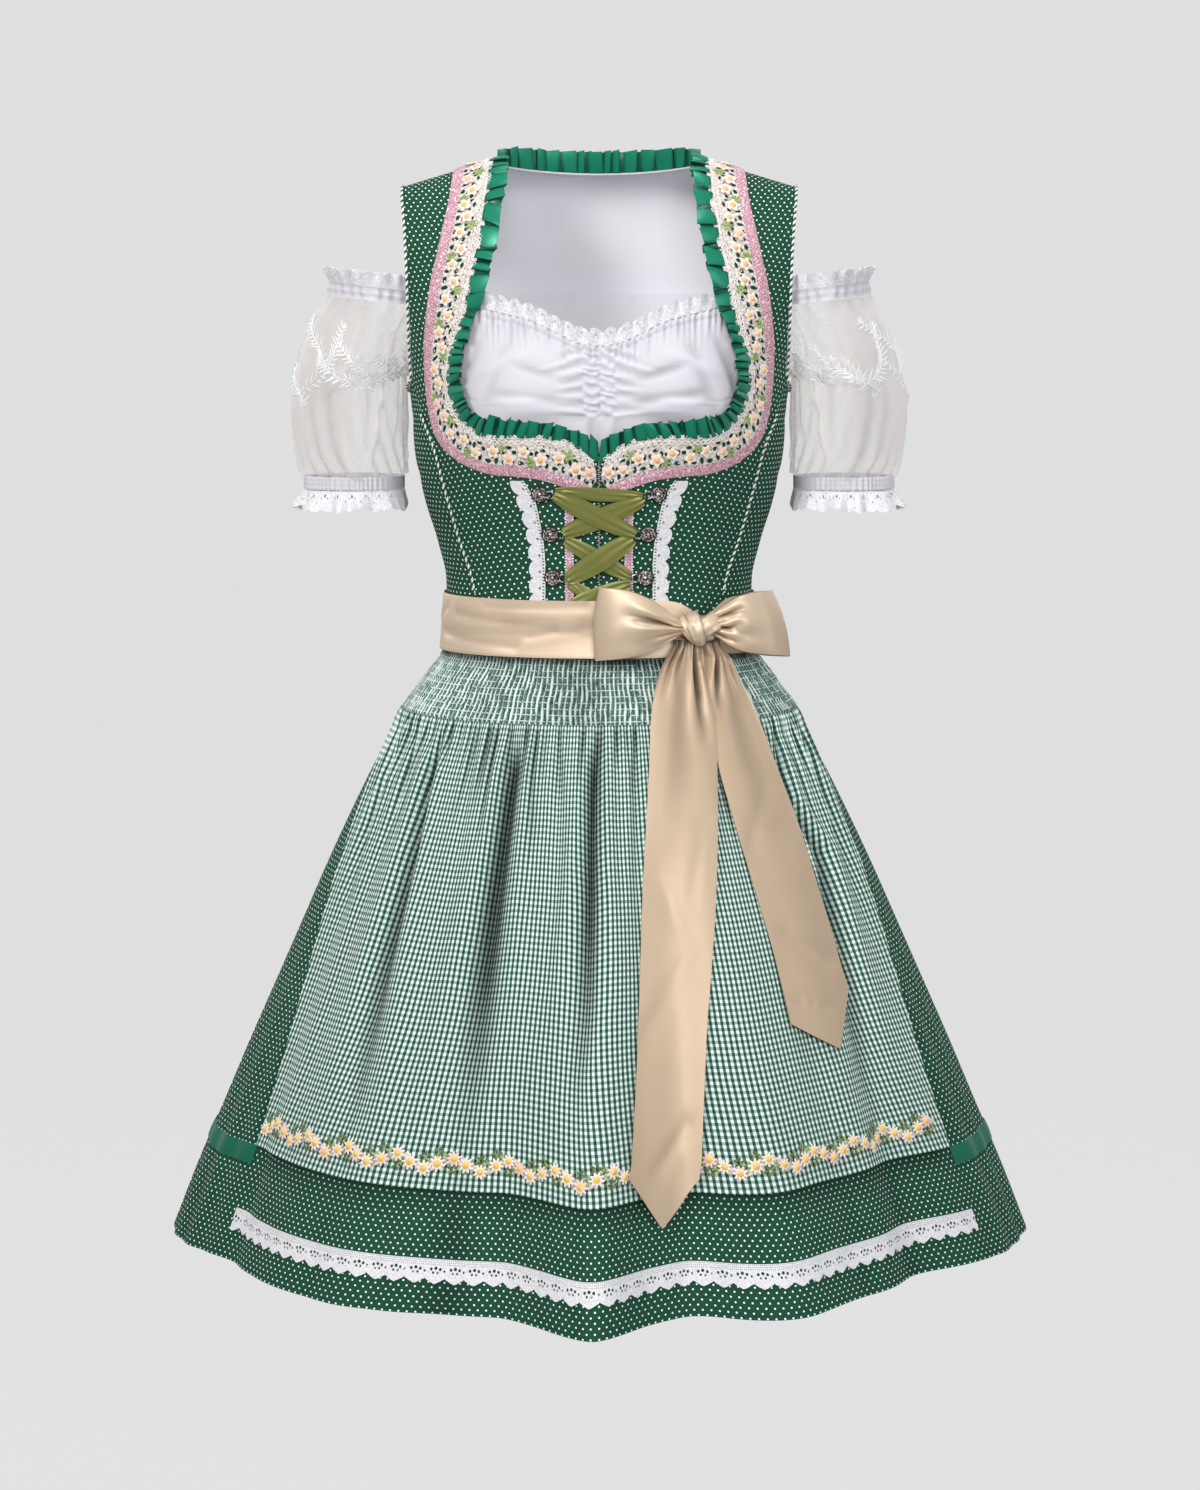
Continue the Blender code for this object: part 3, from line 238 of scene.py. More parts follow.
def torso(x, z, front=True):
    """Points of the bodice's outer face with these x and z."""
    x, z = floats(x, z)
    half, y = TORSO.at(level_at(x, z), "half_width", "front" if front else "back")
    share = np.minimum(1.0, np.abs(x) / half)
    y = y * (1 - share ** SECTION_POWER) ** (1 / SECTION_POWER)
    if front:
        rise, apart, height, wide, tall = BUST
        y = y + rise * (1 - share ** 6) * np.exp(
            -((np.abs(x) - apart) / wide) ** 2 - ((z - height) / tall) ** 2)
    return np.stack([x, -y if front else y, z], -1)


def torso_turn(turn, z):
    """Points at an angle from the side: -90 front, 0 side, 90 back."""
    turn, z = floats(turn, z)
    share = np.clip(np.cos(np.radians(turn)), 0, 1) ** (2 / SECTION_POWER)
    x = TORSO.at(level_at(150, z), "half_width") * share
    made = np.where((turn < 0)[..., None], torso(x, z, True), torso(x, z, False))
    made[..., 0] = x
    return made


def turn_of(x, z, front):
    share = np.minimum(1.0, x / TORSO.at(level_at(150, z), "half_width"))
    turn = np.degrees(np.arccos(share ** (SECTION_POWER / 2)))
    return -turn if front else turn


def fullness(p):
    x, y, z = np.moveaxis(p, -1, 0)
    half, front, back = TORSO.at(level_at(x, z), "half_width", "front", "back")
    depth = np.maximum(1, np.where(y < 0, front, back))
    return (np.abs(x) / half) ** SECTION_POWER + (np.abs(y) / depth) ** SECTION_POWER


def form_normal(p):
    """Outward normals of the torso's form."""
    return unit(np.stack([fullness(p + move) - fullness(p - move)
                          for move in 0.4 * np.eye(3)], -1))


def oval(angle, half, front, back, power):
    """x and y on a rounded section, from the angle."""
    s, c = np.sin(np.radians(angle)), np.cos(np.radians(angle))
    return (half * np.sign(s) * np.abs(s) ** power,
            -np.where(c > 0, front, back) * np.sign(c) * np.abs(c) ** power)


def skirt(angle, z):
    """Points of the skirt's outer face."""
    angle, z = floats(angle, z)
    half, front, back, power = SKIRT.at(z, "half_width", "front", "back", "power")
    x, y = oval(angle, half, front, back, 2 / power)
    grown = np.clip((FOLD_TOP - z) / (FOLD_TOP - HEM), 0, 1) ** FOLD_GROWTH
    out = sum(gain * grown * bell((angle - at + 180) % 360 - 180, spread)
              for at, spread, gain in FOLDS)
    scale = 1 + out / np.hypot(x, y)
    return np.stack([x * scale, y * scale, z], -1)


def skirt_angle(x, z):
    """Angles on the skirt's front half of the points with this x."""
    x, z = floats(x, z)
    low, high = np.full(x.shape, -90.0), np.full(x.shape, 90.0)
    for _ in range(30):
        middle = (low + high) / 2
        less = skirt(middle, z)[..., 0] < x
        low, high = np.where(less, middle, low), np.where(less, high, middle)
    return (low + high) / 2


def on_skirt(angle, z, shift):
    """Points at a distance from the skirt's face."""
    along = skirt(angle - 0.6, z) - skirt(angle + 0.6, z)
    down = skirt(angle, z - 1.5) - skirt(angle, z + 1.5)
    return off(skirt(angle, z), unit(np.cross(along, down)), shift)


def grid_normals(p, closed=False):
    """Outward unit normals of a grid of points."""
    along = np.roll(p, -1, 1) - np.roll(p, 1, 1) if closed else np.gradient(p, axis=1)
    return unit(np.cross(along, np.gradient(p, axis=0)))


def lengths(p, axis=0, start=None):
    """Length along a line, or a grid's rows or columns, from its first point or another."""
    step = np.linalg.norm(np.diff(p, axis=axis), axis=-1)
    made = np.cumsum(np.concatenate([0 * np.take(step, [0], axis), step], axis), axis)
    return made if start is None else made - np.take(made, [start], axis)


def uv_of(u, v):
    """Flat coordinates in metres."""
    return stacked(u, v) * MM


def sided(sign, *grids):
    """Grids of one side. On the left, rows run the other way and x is mirrored."""
    return [(g * (sign, 1, 1) if g.shape[2:] == (3,) else g)[:, ::sign] for g in grids]


# ---- meshes
class Work:
    """Collects grids, leaves, domes and tubes for one mesh object."""

    def __init__(self):
        self.verts, self.uvs, self.faces, self.kinds, self.folds = [], [], [], [], []
        self.count = 0

    def quads(self, points, uv, index, kind, fold=0.0):
        points = points.reshape(-1, 3)
        self.verts.append(points)
        self.folds.append(np.broadcast_to(fold, len(points)))
        self.faces.append(index + self.count)
        self.uvs.append(uv)
        self.kinds.append(np.full(len(index), kind))
        self.count += len(points)

    def grid(self, p, uv=None, thick=0.0, kind=0, closed=False, normals=None, fold=0.0):
        """A surface on a grid of points; with a thickness it is a closed wall inward.

        fold, from 0 to 1, is painted shade for the material: how far it darkens each point's
        colour, deep in folds and in shadows; the organza is made denser by it instead."""
        def cells(g):
            four = np.stack([g[:-1, :-1], g[:-1, 1:], g[1:, 1:], g[1:, :-1]], 2)
            return four.reshape(-1, *four.shape[2:])

        fold = np.clip(np.broadcast_to(fold, p.shape[:2]), 0, 1).ravel()
        index = np.arange(len(fold)).reshape(p.shape[:2])
        if closed:
            index = np.concatenate([index, index[:, :1]], 1)
        if uv is None:
            uv = np.zeros(index.shape + (2,))
        if not thick:
            self.quads(p, cells(uv), cells(index), kind, fold)
            return self
        normals = grid_normals(p, closed) if normals is None else normals
        both = np.concatenate([p.reshape(-1, 3), (p - normals * thick).reshape(-1, 3)])
        inner = index + len(fold)
        faces, uvs = [cells(index), cells(inner)[:, ::-1]], [cells(uv), cells(uv)[:, ::-1]]
        whole = slice(None)
        edges = ((0, whole, 1), (-1, whole, 0), (whole, 0, 0), (whole, -1, 1))
        for row, column, back in edges[:2 if closed else 4]:
            a, b, c = index[row, column], inner[row, column], uv[row, column]
            order = [1, 0, 3, 2] if back else [0, 1, 2, 3]
            faces.append(np.stack([a[:-1], a[1:], b[1:], b[:-1]], 1)[:, order])
            uvs.append(np.stack([c[:-1], c[1:], c[1:], c[:-1]], 1)[:, order])
        self.quads(both, np.concatenate(uvs), np.concatenate(faces), kind,
                   np.concatenate([fold, fold]))
        return self

    def cap(self, ring, middle, kind=0, back=False, fold=0.0):
        """A fan that closes a ring of points."""
        n = np.arange(len(ring))
        index = np.stack([n, (n + 1) % len(n), 0 * n + len(n), 0 * n + len(n)], 1)
        self.quads(np.concatenate([ring, middle[None]]), np.zeros((len(n), 4, 2)),
                   index[:, [1, 0, 2, 3]] if back else index, kind, fold)

    def tube(self, route, radius, sides=8, kind=0, closed=False, axis=(0.2, -1.0, 0.1)):
        """Round cord along points; its uv runs round it and along it in metres."""
        route = np.asarray(route, float)
        ahead = unit(np.roll(route, -1, 0) - np.roll(route, 1, 0) if closed
                     else np.gradient(route, axis=0))
        side = unit(np.cross(ahead, np.broadcast_to(axis, ahead.shape)))
        turn = ring_turns(sides)[None, :, None]
        points = route[:, None] + radius * (np.cos(turn) * side[:, None] + np.sin(turn)
                                            * np.cross(side, ahead)[:, None])
        if closed:
            points = np.concatenate([points, points[:1]])
            route = np.concatenate([route, route[:1]])
        uv = stacked(np.linspace(0, 1, sides + 1)[None], lengths(route)[:, None] * MM)
        self.grid(points[:, ::-1], uv[:, ::-1], kind=kind, closed=True)
        if not closed:
            self.cap(points[0], route[0], kind)
            self.cap(points[-1], route[-1], kind, True)

    def leaf(self, centre, along, side, out, length, width, bulge, kind):
        """Pointed leaf or petal from centre along a direction, raised in its middle."""
        t = np.linspace(0, 1, 5)
        half = width * np.sin(pi * t ** 0.8) ** 0.9
        half[[0, -1]] = 0.02 * width
        across = np.array([-1.0, 0.0, 1.0])[:, None, None]
        self.grid(centre + along * (t * length)[:, None] + across * side * half[:, None]
                  + (1 - across ** 2) * bulge * out * np.sin(pi * t)[:, None], kind=kind)

    def dome(self, centre, side, up, out, radius, height, kind, sides=6):
        """Small round bead or flower centre."""
        turn = ring_turns(sides)[:, None]
        rows = [centre + out * height * rise + radius * share * (
            np.cos(turn) * side + np.sin(turn) * up)
            for share, rise in ((1.0, 0.0), (0.72, 0.7), (0.05, 1.0))]
        self.grid(np.stack(rows)[:, ::-1], kind=kind, closed=True)

    def build(self, name, looks, slot, node=None, sharp=50):
        faces, uvs = np.concatenate(self.faces), np.concatenate(self.uvs)
        quad = faces[:, 3] != faces[:, 2]
        made = bpy.data.meshes.new(name)
        made.from_pydata((np.concatenate(self.verts) * MM).tolist(), [],
                         [f if four else f[:3] for f, four in zip(faces.tolist(), quad)])
        keep = np.ones(uvs.shape[:2], bool)
        keep[:, 3] = quad
        made.uv_layers.new(name="flat").data.foreach_set("uv", uvs[keep].astype("f4").ravel())
        made.polygons.foreach_set("material_index", np.concatenate(self.kinds).astype("i4"))
        # The fold attribute carries painted shade for the materials.
        folds = np.concatenate(self.folds)
        if folds.any():
            made.attributes.new("fold", "FLOAT", "POINT").data.foreach_set(
                "value", folds.astype("f4"))
        for look in looks if isinstance(looks, list) else [looks]:
            made.materials.append(look)
        made.shade_smooth()
        made.set_sharp_from_angle(angle=radians(sharp))
        made.update()
        piece = bpy.data.objects.new(name, made)
        bpy.context.scene.collection.objects.link(piece)
        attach(piece, "root")
        if node:
            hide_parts(node)
        return piece

    def sheet(self, node, kind, looks, slot, flat, held, rests_on, share=None, going=(),
              sharp=50):
        """Build the piece for a node. Its cut, width and length in millimetres and its share of
        that
        box, is worked out: a trim narrower than the least side has its share scaled to keep its
        area. Nothing further is done with the cut."""
        piece = self.build(node + "_" + kind, looks, slot, node, sharp)
        least = 10.0
        if min(flat) < least:
            share = (share or 1.0) * min(flat) / least
            flat = tuple(max(least, side) for side in flat)


# ---- materials
class Shader:
    """Short way to write a node material: each call adds a node and gives its output."""

    def __init__(self, name, colour=(0.8, 0.8, 0.8), roughness=0.8, metallic=0.0):
        self.material = bpy.data.materials.new(name)
        self.material.use_nodes = True
        self.tree = self.material.node_tree
        self.base = self.tree.nodes["Principled BSDF"]
        self.set(Base_Color=colour, Roughness=roughness, Metallic=metallic)

    def set(self, **values):
        for name, value in values.items():
            self.put(self.base.inputs[name.replace("_", " ")], value)

    def put(self, socket, value):
        if isinstance(value, bpy.types.NodeSocket):
            self.tree.links.new(value, socket)
        elif isinstance(value, tuple) and socket.type == "RGBA":
            socket.default_value = (*value, 1)
        else:
            socket.default_value = value

    def node(self, kind, inputs=(), output=0, **settings):
        made = self.tree.nodes.new("ShaderNode" + kind)
        for name, value in settings.items():
            setattr(made, name, value)
        for key, value in dict(inputs).items():
            self.put(made.inputs[key], value)
        return made.outputs[output]

    def math(self, operation, *values):
        return self.node("Math", enumerate(values), operation=operation)

    def times(self, a, b):
        return self.math("MULTIPLY", a, b)

    def grown(self, a, b, c):
        """a times b plus c"""
        return self.math("MULTIPLY_ADD", a, b, c)

    def wave(self, value, period):
        return self.math("SINE", self.times(value, 6.2832 / period))

    def mix(self, share, a, b, blend_type="MIX"):
        return self.node("Mix", {0: share, 6: a, 7: b}, 2, data_type="RGBA",
                         blend_type=blend_type)

    def ramp(self, value, low, high, start=0.0, end=1.0):
        return self.node("MapRange", {0: value, 1: low, 2: high, 3: start, 4: end},
                         interpolation_type="SMOOTHSTEP")

    def fall(self, value, low, high):
        return self.ramp(value, low, high, 1.0, 0.0)

    def uv(self):
        split = self.tree.nodes.new("ShaderNodeSeparateXYZ")
        self.tree.links.new(self.node("UVMap", uv_map="flat"), split.inputs[0])
        return split.outputs[0], split.outputs[1]

    def place(self):
        return self.node("TexCoord", output=3)

    # The mesh's fold attribute: painted shade, which the organza turns into denser cloth instead.
    def fold(self):
        return self.node("Attribute", output=2, attribute_name="fold")

    def wear_and_painted_shade(self, colour, deep):
        """The colour, darkened by painted shade where the fold attribute is high."""
        dark = self.mix(self.times(self.fold(), deep), (1.0, 1.0, 1.0), (0.0, 0.0, 0.0))
        return self.mix(1.0, colour, dark, "MULTIPLY")

    def noise(self, scale, detail=2.0, vector=None):
        return self.node("TexNoise", {"Vector": vector or self.place(), "Scale": scale,
                                      "Detail": detail, "Roughness": 0.5, "Distortion": 0.0})

    def streaks(self, u, v, across, along, detail=3.0):
        """Noise drawn out along the cloth."""
        return self.noise(1.0, detail, self.vector(self.times(u, across), self.times(v, along)))

    def grain(self, scale):
        return self.node("TexVoronoi", {"Vector": self.place(), "Scale": scale})

    def vector(self, x, y):
        return self.node("CombineXYZ", {0: x, 1: y, 2: 0.0})

    def length(self, x, y):
        return self.node("VectorMath", {0: self.vector(x, y)}, 1, operation="LENGTH")

    def cell(self, value, period, shift=0.0):
        """Distance from the middle of the nearest period, in the value's own unit."""
        share = self.math("FRACT", self.grown(value, 1 / period, shift))
        return self.times(self.math("SUBTRACT", share, 0.5), period)

    def away(self, value, period, shift=0.0):
        return self.math("ABSOLUTE", self.cell(value, period, shift))

    def weave(self, u, v, pitch):
        """Height of a plain weave with a little slub."""
        cross = self.times(self.wave(u, pitch), self.wave(v, pitch))
        return self.grown(self.noise(900, 3.0), 1.6, self.times(cross, 0.5))

    def done(self, height, distance, strength, **values):
        """The material, with a relief and these values."""
        self.set(Normal=self.node("Bump", {"Height": height, "Distance": distance,
                                           "Strength": strength}), **values)
        return self.material

    def see_through(self, share, shader=None):
        """share of the surface, from 0 to 1, is empty."""
        made = self.node("MixShader", {0: share, 1: shader or self.base.outputs[0],
                                       2: self.node("BsdfTransparent")})
        self.tree.links.new(made, self.tree.nodes["Material Output"].inputs[0])
        return self.material


def dotted_cotton():
    s = Shader("dotted cotton", roughness=0.9)
    u, v = s.uv()
    away = s.math("MINIMUM", *(s.length(s.cell(u, 0.0064, k), s.cell(v, 0.0081, k))
                               for k in (0.0, 0.5)))
    dot = s.fall(away, 0.00072, 0.00092)
    rim = s.fall(away, 0.0010, 0.0022)
    ground = s.mix(s.noise(28, 4.0), (0.0055, 0.048, 0.024), (0.0125, 0.083, 0.045))
    ground = s.mix(s.ramp(s.noise(2600), 0.3, 0.75), ground, (0.022, 0.108, 0.062))
    ground = s.mix(s.times(rim, 0.5), ground, (0.003, 0.032, 0.015))
    return s.done(s.grown(dot, 1.0, s.weave(u, v, 0.0007)), 0.00010, 0.7,
                  Base_Color=s.wear_and_painted_shade(s.mix(dot, ground, (0.97, 1.0, 0.97)), 0.75),
                  Specular_IOR_Level=0.12)


def gingham():
    """Two yarns: the lengthwise bands are darker than the crosswise ones."""
    s = Shader("gingham cotton", roughness=0.88)
    u, v = s.uv()
    u = s.grown(s.math("SUBTRACT", s.noise(22, 3.0), 0.5), 0.0012, u)
    check, soft = 0.0050, 0.00030
    across, along = (s.fall(s.away(value, check), check / 4 - soft, check / 4 + soft)
                     for value in (u, v))
    one = s.mix(across, (0.86, 0.92, 0.90), (0.068, 0.190, 0.142))
    two = s.mix(across, (0.30, 0.48, 0.415), (0.005, 0.040, 0.026))
    colour = s.mix(s.ramp(s.noise(1800), 0.4, 0.85, 0.0, 0.10), s.mix(along, one, two),
                   (0.72, 0.84, 0.80))
    return s.done(s.weave(u, v, 0.0008), 0.00010, 0.7, Base_Color=s.wear_and_painted_shade(colour, 0.80),
                  Specular_IOR_Level=0.12)


def smocked():
    """Shirred gingham: u counts pleats of SMOCK_PITCH and v rows of shirring."""
    s = Shader("smocked gingham", roughness=0.88)
    u, v = s.uv()
    pitch, rows = SMOCK_PITCH * MM, SHIRRING * MM
    crest = s.away(u, pitch)
    width = s.ramp(s.streaks(u, v, 230.0, 70.0, 2.0), 0.36, 0.66, 0.00008, 0.00105)
    white = s.fall(s.math("SUBTRACT", crest, width), -0.00012, 0.00026)
    patch = s.streaks(u, v, 300.0, 260.0)
    check = s.fall(s.away(v, rows, 0.5), 0.0010, 0.0018)
    ground = s.mix(s.ramp(patch, 0.36, 0.62), (0.007, 0.050, 0.034), (0.085, 0.225, 0.170))
    ground = s.mix(s.times(check, 0.35), ground, (0.24, 0.42, 0.35))
    # Painted shade: the ground darkens in the hollows between the pleats.
    gap = s.ramp(s.math("SUBTRACT", pitch / 2, crest), 0.0, 0.00045, 0.8, 0.0)
    ground = s.mix(gap, ground, (0.004, 0.026, 0.018))
    colour = s.mix(white, ground, (0.80, 0.88, 0.855))
    line = s.times(s.fall(s.away(v, rows), 0.00022, 0.00068), s.ramp(s.noise(210), 0.34, 0.56))
    colour = s.mix(s.times(line, 0.88), colour, (0.84, 0.93, 0.89))
    return s.done(s.grown(white, 1.5, s.grown(line, 1.5, patch)), 0.00030, 0.8,
                  Base_Color=s.wear_and_painted_shade(colour, 0.9), Specular_IOR_Level=0.12)


def satin(name, colour, deep, rough, metal=0.3, fold=0.5):
    """Glossy woven ribbon: long floats along it, so its gloss is stretched across."""
    s = Shader(name, colour, rough, metal)
    long = s.streaks(*s.uv(), 2600.0, 140.0)
    tone = s.mix(s.times(s.noise(35, 3.0), 0.6), colour, deep)
    # fold is how strongly the fold attribute darkens the colour: painted shade.
    return s.done(long, 0.00003, 0.35, Base_Color=s.wear_and_painted_shade(tone, fold),
                  Roughness=s.ramp(long, 0.2, 0.8, rough - 0.05, rough + 0.07),
                  Sheen_Weight=0.1, Sheen_Roughness=0.35, Specular_IOR_Level=0.5,
                  Anisotropic=0.35)


def plain_cotton(name, colour, shade):
    s = Shader(name, colour, 0.85)
    return s.done(s.weave(*s.uv(), 0.0006), 0.00008, 0.6, Specular_IOR_Level=0.2,
                  Base_Color=s.wear_and_painted_shade(s.mix(s.noise(26, 4.0), colour, shade), 0.42))


def organza():
    """Sheer: half of the light goes straight through, more where it is seen face on."""
    s = Shader("organza", (1.0, 0.955, 0.93), 0.5)
    passed = s.node("BsdfTranslucent", {"Color": (0.98, 0.96, 0.95)})
    body = s.node("MixShader", {0: 0.5, 1: s.base.outputs[0], 2: passed})
    dense = s.grown(s.noise(1500), 0.08, s.grown(s.noise(24, 3.0), 0.20, 0.05))
    dense = s.grown(s.node("LayerWeight", {"Blend": 0.35}, 1), 0.62, dense)
    dense = s.grown(s.fold(), 0.45, dense)
    s.done(s.noise(90, 3.0), 0.0005, 0.35, Specular_IOR_Level=0.3, Sheen_Weight=0.15,
           Sheen_Roughness=0.3)
    return s.see_through(s.math("SUBTRACT", 1.0, dense), body)


def thread(name, colour, shade, rough=0.8, scale=700.0):
    """Embroidery yarn."""
    s = Shader(name, colour, rough)
    grain = s.noise(scale, 3.0)
    return s.done(grain, 0.00025, 0.8, Sheen_Weight=0.2, Specular_IOR_Level=0.35,
                  Base_Color=s.mix(s.ramp(grain, 0.3, 0.75), colour, shade))


def lace(name, holes, colour=(0.88, 0.88, 0.90), shade=(0.74, 0.74, 0.78), grain=520.0,
         tall=0.00030):
    """Cotton lace; holes gives where it is open, from u and v."""
    s = Shader(name, colour, 0.85)
    cells = s.grain(grain)
    s.done(s.times(cells, -1.0), tall, 0.9, Specular_IOR_Level=0.25, Sheen_Weight=0.15,
           Base_Color=s.mix(s.ramp(cells, 0.15, 0.75), colour, shade))
    return s.see_through(holes(s, *s.uv()))


def spots(s, u, v, pitch, *places):
    """Oval holes of one motif, repeated along u: each is u, v and its two radii in mm."""
    turn, least = s.cell(u, pitch * MM), None
    for x, y, wide, tall in np.array(places) * MM:
        away = s.length(s.math("DIVIDE", s.math("SUBTRACT", turn, x), wide),
                        s.math("DIVIDE", s.math("SUBTRACT", v, y), tall))
        least = s.math("MINIMUM", least, away) if least else away
    return s.fall(least, 0.85, 1.15)


def crochet_open(s, u, v):
    """Net of the flower trims: oval holes among the flowers, fine mesh beside them."""
    big = spots(s, u, v, 13.8, (-3.6, 3.4, 1.7, 2.8), (3.2, 2.2, 2.6, 1.7), (0.2, 7.2, 1.8, 2.1),
                (-4.6, 10.4, 2.2, 1.7), (4.6, 10.8, 1.7, 2.5), (0.0, 14.2, 2.5, 1.5))
    edge = spots(s, u, v, 5.2, (-1.8, 18.0, 0.7, 0.8), (1.6, 20.0, 0.7, 0.7))
    fine = s.ramp(s.noise(560, 1.0), 0.60, 0.66)
    return s.math("MAXIMUM", s.math("MAXIMUM", big, edge), s.times(fine, 0.22))


def hem_open(s, u, v):
    big = spots(s, u, v, 16.0, (0.0, -7.0, 1.3, 1.3), (-3.6, -7.8, 1.1, 1.2),
                (3.6, -7.8, 1.1, 1.2), (-1.8, -10.4, 0.9, 1.0), (1.8, -10.4, 0.9, 1.0),
                (7.2, -9.2, 0.8, 1.0))
    net = s.times(s.fall(s.away(u, 0.0016), 0.0002, 0.00045),
                  s.fall(s.away(v, 0.0017), 0.0002, 0.0005))
    upper = s.ramp(v, -0.0058, -0.0050)
    return s.math("MAXIMUM", big, s.times(s.times(net, upper), 0.75))


def scallop_open(s, u, v):
    return s.math("MAXIMUM", spots(s, u, v, 2.6, (0.0, 1.6, 0.60, 0.9)),
                  s.times(spots(s, u, v, 13.6, (0.0, 4.4, 1.2, 0.9)), 0.9))


def eyelet_open(s, u, v):
    return spots(s, u, v, 15.0, (0.0, -4.8, 1.1, 1.5), (-3.0, -6.6, 0.6, 0.7),
                 (3.0, -6.6, 0.6, 0.7), (6.5, -10.0, 0.7, 0.8))


def silver():
    s = Shader("old silver", (0.70, 0.64, 0.60), 0.34, 0.65)
    # Here the noise is only the silver's random wear.
    wear_and_painted_shade = s.noise(520, 4.0)
    colour = s.mix(s.ramp(wear_and_painted_shade, 0.40, 0.60), (0.06, 0.048, 0.042), (0.86, 0.80, 0.76))
    return s.done(wear_and_painted_shade, 0.00025, 0.6, Base_Color=colour,
                  Roughness=s.ramp(wear_and_painted_shade, 0.3, 0.7, 0.5, 0.26))


def twist():
    """Cord of twisted strands: u runs round it and v along it."""
    light, dark, pitch = (0.90, 0.92, 0.88), (0.02, 0.09, 0.05), 0.0058
    s = Shader("twisted piping", light, 0.8)
    u, v = s.uv()
    wave = s.wave(s.grown(v, 1 / pitch, u), 1.0)
    return s.done(s.grown(s.noise(1600), 0.4, wave), 0.0003, 0.9, Specular_IOR_Level=0.2,
                  Base_Color=s.mix(s.fall(wave, -0.35, 0.15), light, dark))


def braid():
    """Pink braid of small interlaced loops with light flecks."""
    s = Shader("pink braid", (0.5, 0.3, 0.32), 0.85)
    u, v = s.uv()
    chevron = s.wave(s.grown(s.math("ABSOLUTE", v), 1.0, u), 0.0026)
    tone = s.grown(chevron, 0.16, s.grown(s.grain(620.0), -0.8, 0.80))
    colour = s.mix(s.ramp(tone, 0.05, 0.85), (0.46, 0.20, 0.26), (0.80, 0.54, 0.61))
    fleck = s.ramp(s.noise(480, 1.5), 0.58, 0.68)
    return s.done(tone, 0.0005, 0.9, Specular_IOR_Level=0.2,
                  Base_Color=s.mix(fleck, colour, (0.92, 0.80, 0.84)))


COTTON_PRINT, GINGHAM, SMOCKED = dotted_cotton(), gingham(), smocked()
EMERALD = satin("emerald satin", (0.008, 0.300, 0.175), (0.005, 0.200, 0.112), 0.36, fold=0.92)
# The same satin for the hanging tails, rougher and less metallic, with a darker colour that is
# painted shade.
CHAMPAGNE_SHADED = satin("champagne satin hanging", (0.60, 0.455, 0.318), (0.52, 0.385, 0.262),
                       0.46, 0.24, 0.80)
CHAMPAGNE = satin("champagne satin", (0.82, 0.645, 0.475), (0.73, 0.555, 0.40), 0.42, 0.32, 0.78)
OLIVE = satin("olive satin", (0.250, 0.255, 0.068), (0.185, 0.195, 0.048), 0.40, fold=0.85)
BLOUSE_COTTON = plain_cotton("white cotton", (0.72, 0.70, 0.755), (0.66, 0.64, 0.695))
LINING = plain_cotton("back lining", (0.94, 0.94, 0.99), (0.90, 0.90, 0.96))
ORGANZA = organza()
SPRAY = thread("white embroidery", (0.98, 0.98, 0.98), (0.90, 0.90, 0.92), 0.6)
HEM_LOOK, SCALLOP_LOOK = lace("hem lace", hem_open), lace("scallop lace", scallop_open)
EYELET = lace("eyelet lace", eyelet_open)
BLOUSE_LACE = lace("blouse lace", eyelet_open, (0.80, 0.80, 0.82), (0.60, 0.60, 0.63))
CROCHET = lace("crochet ground", crochet_open, (0.94, 0.90, 0.86), (0.60, 0.53, 0.48), 430.0,
               0.0006)
PETAL = thread("petals", (0.94, 0.85, 0.79), (0.82, 0.66, 0.60))
PINK_PETAL = thread("pink petals", (0.90, 0.72, 0.70), (0.80, 0.56, 0.54))
PEACH = thread("flower centres", (0.88, 0.60, 0.30), (0.78, 0.46, 0.20))
YELLOW = thread("yellow centres", (0.90, 0.66, 0.20), (0.84, 0.50, 0.12))
LEAF = thread("leaves", (0.46, 0.60, 0.20), (0.13, 0.22, 0.06))
OLIVE_LEAF = thread("olive leaves", (0.155, 0.215, 0.050), (0.085, 0.125, 0.035))
BRAID = braid()
NET_YARN = thread("net yarn", (0.95, 0.92, 0.89), (0.74, 0.68, 0.64))
PICOT = thread("white picots", (0.84, 0.80, 0.82), (0.70, 0.62, 0.66))
PIPING, SILVER = twist(), silver()
# A nearly black plate set under each hook's filigree.
DARK_PLATE = Shader("dark silver plate", (0.035, 0.030, 0.030), 0.55, 0.6).material
ZIP_TAPE = plain_cotton("zip tape", (0.012, 0.075, 0.042), (0.008, 0.055, 0.030))
ZIP_TEETH = thread("zip teeth", (0.55, 0.60, 0.57), (0.36, 0.41, 0.38), 0.5)
BAND_YARN = thread("crochet band", (0.88, 0.78, 0.72), (0.66, 0.52, 0.48), 0.85, 520.0)


# ---- lengths and folds on the forms
def arc(curve, start, end, z, steps=24):
    """Length of a level curve of a form between two of its positions at a height."""
    start, end, z = floats(start, end, z)
    line = curve(blend(start[..., None], end[..., None], np.linspace(0, 1, steps + 1)),
                 z[..., None])
    return np.linalg.norm(np.diff(line, axis=-2), axis=-1).sum(-1) * np.sign(end - start)


SLANT = np.linspace(WAIST, HEM, 200)
SLANT_LENGTH = lengths(skirt(40.0, SLANT))


def slant(z):
    """Length of cloth from the waist down to a height, downward negative."""
    return -np.interp(-z, -SLANT, SLANT_LENGTH)


def troughs(p, lines):
    """How far soft creases move the points inward or, if negative, outward.

    Each crease has two ends, a half width and a depth."""
    total = 0.0
    for a, b, wide, deep in lines:
        way = np.subtract(b, a)
        t = np.clip(((p - a) @ way) / (way @ way), 0, 1)
        away = np.linalg.norm(p - a - t[..., None] * way, axis=-1)
        total = total + deep * bell(away, wide) * np.sin(pi * (0.12 + 0.76 * t)) ** 0.7
    return total


